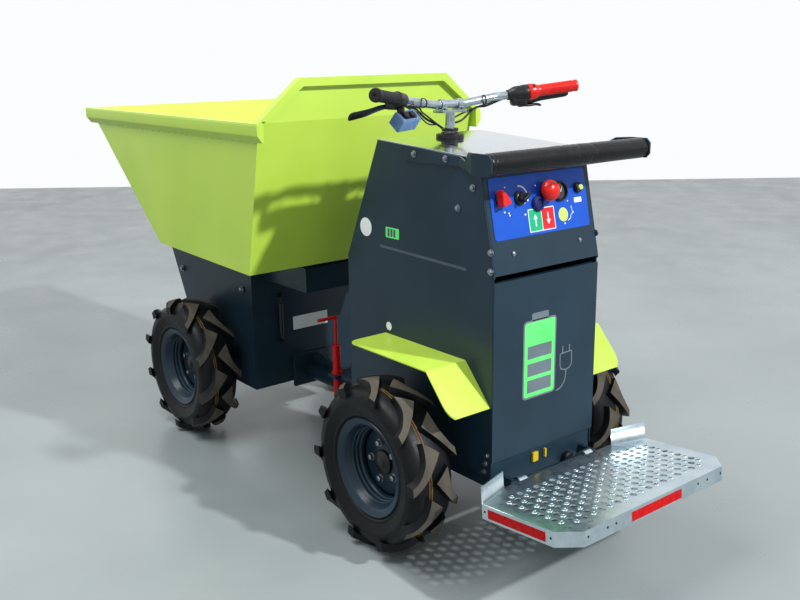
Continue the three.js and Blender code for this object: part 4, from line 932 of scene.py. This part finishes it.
def grip_shape(first, ribs):
    """A moulded grip along Y: collar, ribbed hand part, bulged end."""
    profile = [(12.3, 42.5), (first, 42.5), (first + 0.6, 44), (first, 47), (16.6, 49)]
    for k in range(ribs):
        y = 54 + k * (122 / ribs)
        profile += [(16.3, y), (16.3, y + 50 / ribs), (15.5, y + 62 / ribs), (15.5, y + 110 / ribs)]
    last = GRIP_END
    profile += [(16.4, last - 16), (18.4, last - 12), (18.6, last - 4), (17, last - 1), (11, last), (5, last - 0.5),
                (4, last - 4), (0.01, last - 4), (0.01, 43)]
    return lathe(profile, 40, "Y")


def swept_blade(points, width, thick, normal=(0, 0, 1)):
    return sweep(smooth_path(points, 6), width, 18, thick, normal)


left_hand = Piece().add(grip_shape(20, 16), GRIP, left)
left_hand.finish("left_hand_grip", "handlebar", "black_rubber", ["left_grip"], 50)
lever = Piece()
lever.add(lathe([(12.3, 2), (18, 2), (19, 5), (19, 37), (18, 40), (12.3, 40)], 32, "Y"), BLACK_ABS, left)
lever.add(box((8, 6, -28), (40, 34, -6), 4, 3), BLACK_ABS, left)
lever.add(disc(6, -10, 10, 20), ZINC, left @ at(33, 22, -17))
lever.add(swept_blade([(38, 14, -19), (50, 48, -27), (64, 96, -42), (80, 146, -54), (85, 160, -57)],
                      [(0, 8), (0.2, 10), (0.5, 12.5), (0.75, 13.5), (0.93, 12.5), (1, 8)], 0.36, (1, 0.2, 0.55)),
          BLACK_ABS, left)
lever.finish("left_lever_blade", "handlebar", "black_plastic", ["left_lever"], 50)

throttle = Piece()
sleeve = [(12.3, 42.5), (24, 42.5), (25, 45), (24.4, 52), (22.8, 61), (20, 68), (17.6, 73), (16.8, 80),
          (16.5, 182), (17.6, 187), (17.4, 193), (14, GRIP_END), (5, GRIP_END - 0.5), (4, GRIP_END - 4),
          (0.01, GRIP_END - 4), (0.01, 43)]
throttle.add(lathe(sleeve, 40, "Y"), RED_ABS, right)
for k in range(14):
    spin = Matrix.Rotation(2 * math.pi * k / 14, 4, "Y")
    throttle.add(box((-1.3, 76, 15.9), (1.3, 178, 17.3), 0.5), RED_ABS, right @ spin)
throttle.add(box((-6, 50, 20), (6, 62, 24), 1.5), BLACK_ABS, right @ Matrix.Rotation(math.radians(-40), 4, "Y"))
throttle.finish("twist_throttle", "handlebar", "red_plastic", ["throttle_grip"], 50)
housing = Piece()
housing.add(lathe([(12.3, -24), (15, -24), (16, -16), (20, -8), (22.5, 0), (23, 8), (23, 22), (24, 24), (24, 36),
                   (22.5, 41), (12.3, 41)], 32, "Y"), BLACK_ABS, right)
housing.add(box((-17, -14, -34), (19, 34, -8), 9, 3), BLACK_ABS, right)
housing.add(lathe([(0, 0), (5, 0), (5, 13), (3.4, 20), (0, 20)], 18, "Y"), CABLE, right @ at(-6, -16, -16))
housing.finish("throttle_case", "handlebar", "black_plastic", ["throttle_housing"], 50)
brake = Piece()
brake.add(box((-10, 8, -40), (22, 34, -26), 4, 3), BLACK_ABS, right)
brake.add(swept_blade([(14, 14, -34), (22, 44, -32), (24, 84, -26), (22, 140, -24), (20, 172, -23)],
                      [(0, 8), (0.2, 10), (0.8, 11), (0.94, 10.5), (1, 6)], 0.4, (1, 0, 0.8)), BLACK_ABS, right)
brake.add(swept_blade([(14, 16, -36), (22, 46, -41), (27, 72, -42), (31, 86, -47)],
                      [(0, 6), (0.8, 6), (1, 5)], 0.7), BLACK_ABS, right)
brake.finish("right_brake_lever", "handlebar", "black_plastic", ["right_lever"], 50)

face_x, face_y = Vector((0.164, -0.985, 0.054)).normalized(), Vector((0.729, 0.158, 0.667))
face_y = (face_y - face_x * face_y.dot(face_x)).normalized()
box_place = basis((-481, 205, 1193), face_x, face_y, face_x.cross(face_y))
switch = Piece()
switch.add(box((-37, -20, -21), (37, 20, 19), 3, 3), BLUE_ABS, box_place)
switch.add(prism(rounded(70, 36, 4, 4), 18.5, 21, 0.6), BLUE_ABS, box_place)
switch.add(prism(rounded(56, 26, 8, 5), 20.6, 21.6, 0.3), BLACK_ABS, box_place)
for x in (-13, 13):
    switch.add(lathe([(0, 0), (10, 0), (10, 4.5), (8.5, 6.5), (0, 7)], 28), BLACK_ABS, box_place @ at(x, 0, 21))
for x, y in ((-31.5, 14.5), (31.5, 14.5), (-31.5, -14.5), (31.5, -14.5)):
    switch.add(lathe([(0, -1), (2.4, -1), (2.4, 1.2), (0, 1.4)], 12), ZINC, box_place @ at(x, y, 21))
switch.add(lathe([(12.2, 4), (15.5, 4), (15.5, 20), (12.2, 20)], 32, "Y"), BLACK_ABS, left)
switch.add(box((-9, 5, -34), (9, 19, -13), 2), BLACK_ABS, left)
switch.finish("tipping_switch", "handlebar", "switch_plastic", ["switch_box"])

# Cables: from both ends of the bar down to a collar on the stem.
wiring = Piece()
collar_z = bearing_high.z + 3
wiring.add(lathe([(14.4, collar_z), (24, collar_z), (25, collar_z + 3), (24, collar_z + 9), (14.4, collar_z + 9)],
                 32), BLACK_ABS, at(column_x, 0, 0))
for sign_y, lane, radius, bow in ((1, 10, 3.6, 0), (1, 2, 2.6, 9), (-1, -8, 2.6, 3), (1, 16, 2.2, -12),
                                  (-1, -16, 3.2, -9)):
    route = [(column_x + 17 + bow * 0.3, lane, collar_z + 4), (column_x + 33 + bow, lane + sign_y * 10, collar_z + 18),
             (column_x + 33 + bow, lane + sign_y * 52, bar_z - 42 + bow),
             (column_x + 14 - bow * 0.5, lane + sign_y * 98, bar_z - 18),
             (column_x - 6 - bow * 0.4, lane + sign_y * 126, bar_z - 8 + bow * 0.4),
             (bar_end.x + 30 - bow * 0.3, sign_y * (bar_end.y - 26), bar_end.z - 16)]
    wiring.add(sweep(smooth_path(route, 8), radius, 12), CABLE)
for sign_y in (1, -1):
    spot = half_bar[2].lerp(bar_end, 64 / 170)
    way = (bar_end - half_bar[2]).normalized()
    tie = lathe([(12.2, -2.4), (14, -2.4), (14.3, 0), (14, 2.4), (12.2, 2.4)], 24)
    turn = Vector((0, 0, 1)).rotation_difference(Vector((way.x, sign_y * way.y, way.z))).to_matrix().to_4x4()
    wiring.add(tie, BLACK_ABS, Matrix.Translation((spot.x, sign_y * spot.y, spot.z)) @ turn)
wiring.finish("control_wiring", "handlebar", "black_rubber", ["control_cables"], 60)

# ---- stand-on platform -----------------------------------------------------------------------------------
hinge = Matrix.Translation((-876, 0, 235)) @ Matrix.Rotation(math.radians(5), 4, "Y")
flat_deck = from_cad("platform_deck", 0)
flat_deck.transform(hinge.inverted())
bmesh.ops.remove_doubles(flat_deck, verts=flat_deck.verts, dist=0.05)
deck_mesh = as_mesh("deck", flat_deck)
collar_shape = lathe([(4.9, -1.5), (9.0, -0.6), (8.4, 0.4), (6.9, 1.4), (5.5, 1.6), (4.9, 1.1)], 14)
collar_object = new_object("collar", as_mesh("collar", collar_shape))
punched = run_tree(perforation_tree(), deck_mesh, collar=collar_object, material=GALVANISED)
bpy.data.objects.remove(collar_object)
deck = Piece()
deck.add(punched, GALVANISED, hinge)
for low_y, high_y in ((332, 332.6), (-332.6, -332)):
    deck.add(box((-275, low_y, -20), (-77, high_y, 5), 0.2, 1), TAPE, hinge)
deck.add(box((-352.6, -99, -20), (-352, 104, 5), 0.2, 1), TAPE, hinge)
for y in (-274, -213, -172, 164, 196, 267):
    deck.add(disc(3.4, -0.5, 0.3, 14), BLACK_ABS, hinge @ at(-352, y, -4, (0, -90, 0)))
for y in (332, -332):
    for x in (-292, -66):
        deck.add(disc(3.4, -0.5, 0.3, 14), BLACK_ABS,
                 hinge @ at(x, y, -5, (-90 if y > 0 else 90, 0, 0)))
deck.finish("perforated_deck", "platform", "zinc_steel", ["platform_deck"], 30)

# ---- tipping cylinder --------------------------------------------------------------------------------------
rounded_copy("tip_cylinder", "tipping_cylinder_barrel", "cylinder_barrel", "black_plastic", BLACK_ABS, 1.2)
rounded_copy("tip_rod", "tipping_cylinder_rod", "cylinder_rod", "zinc_steel", CHROME, 0.8)

# ---- floor, light and camera -------------------------------------------------------------------------------
floor_mesh = bpy.data.meshes.new("floor")
CAMERA_AT = Vector((-2.548, 1.880, 1.380))
BACKDROP_AWAY = 10.25                          # metres from the camera to where the pale backdrop begins
yaw = math.radians(-38.567)
floor_way, floor_side = Vector((math.cos(yaw), math.sin(yaw), 0)), Vector((-math.sin(yaw), math.cos(yaw), 0))
wall_foot = Vector((*CAMERA_AT.xy, 0)) + floor_way * BACKDROP_AWAY
floor_corners = ((-40, -40), (0, -40), (0, 40), (-40, 40))      # metres back from the foot and to the side
floor_mesh.from_pydata([wall_foot + floor_way * a + floor_side * b for a, b in floor_corners], [], [(0, 1, 2, 3)])
floor = new_object("studio_floor", floor_mesh)
floor_finish = finish_of("sealed_pale_screed", ("#8E9697", "#9AA2A3"), (0.26, 0.4), 900, 12, 0.03)
floor_mesh.materials.append(floor_finish)

world = bpy.data.worlds.new("studio")
scene.world = world
world.use_nodes = True
tree = world.node_tree
tree.nodes.clear()
path = add_node(tree, "ShaderNodeLightPath")
seen = add_node(tree, "ShaderNodeMath", {0: path.outputs["Is Camera Ray"], 1: path.outputs["Is Glossy Ray"]},
                operation="MAXIMUM")
fill = add_node(tree, "ShaderNodeBackground", {"Color": linear("#EEF4F8"), "Strength": 0.5})
white = add_node(tree, "ShaderNodeBackground", {"Color": linear("#FBFDFF"), "Strength": 1.0})
sky = add_node(tree, "ShaderNodeMixShader", {0: seen.outputs[0], 1: fill.outputs[0], 2: white.outputs[0]})
add_node(tree, "ShaderNodeOutputWorld", {"Surface": sky.outputs[0]})


def area_light(name, place, aim, size, power):
    lamp = bpy.data.lights.new(name, "AREA")
    lamp.shape, lamp.size, lamp.energy = "DISK", size, power
    made = new_object(name, lamp)
    made.location = place
    made.rotation_euler = (Vector(aim) - Vector(place)).to_track_quat("-Z", "Y").to_euler()
    return made


area_light("key", (-8.1, -2.35, 6.3), (-0.2, 0.05, 0.7), 0.4, 960)
area_light("top", (0.4, 1.8, 4.8), (0, 0, 0.6), 3.0, 160)

camera_data = bpy.data.cameras.new("camera")
camera_data.sensor_width, camera_data.lens = 36, 42.92
camera = new_object("camera", camera_data)
pitch, roll = math.radians(14.661), math.radians(-0.8)
ahead = Vector((math.cos(pitch) * math.cos(yaw), math.cos(pitch) * math.sin(yaw), -math.sin(pitch)))
across = Vector((math.sin(yaw), -math.cos(yaw), 0))
above = across.cross(ahead)
rolled = across * math.cos(roll) + above * math.sin(roll)
upright = above * math.cos(roll) - across * math.sin(roll)
camera.matrix_world = basis(CAMERA_AT, rolled, upright, -ahead)
camera_data.clip_start, camera_data.clip_end = 0.05, 200
scene.camera = camera
scene.view_settings.view_transform = "Standard"
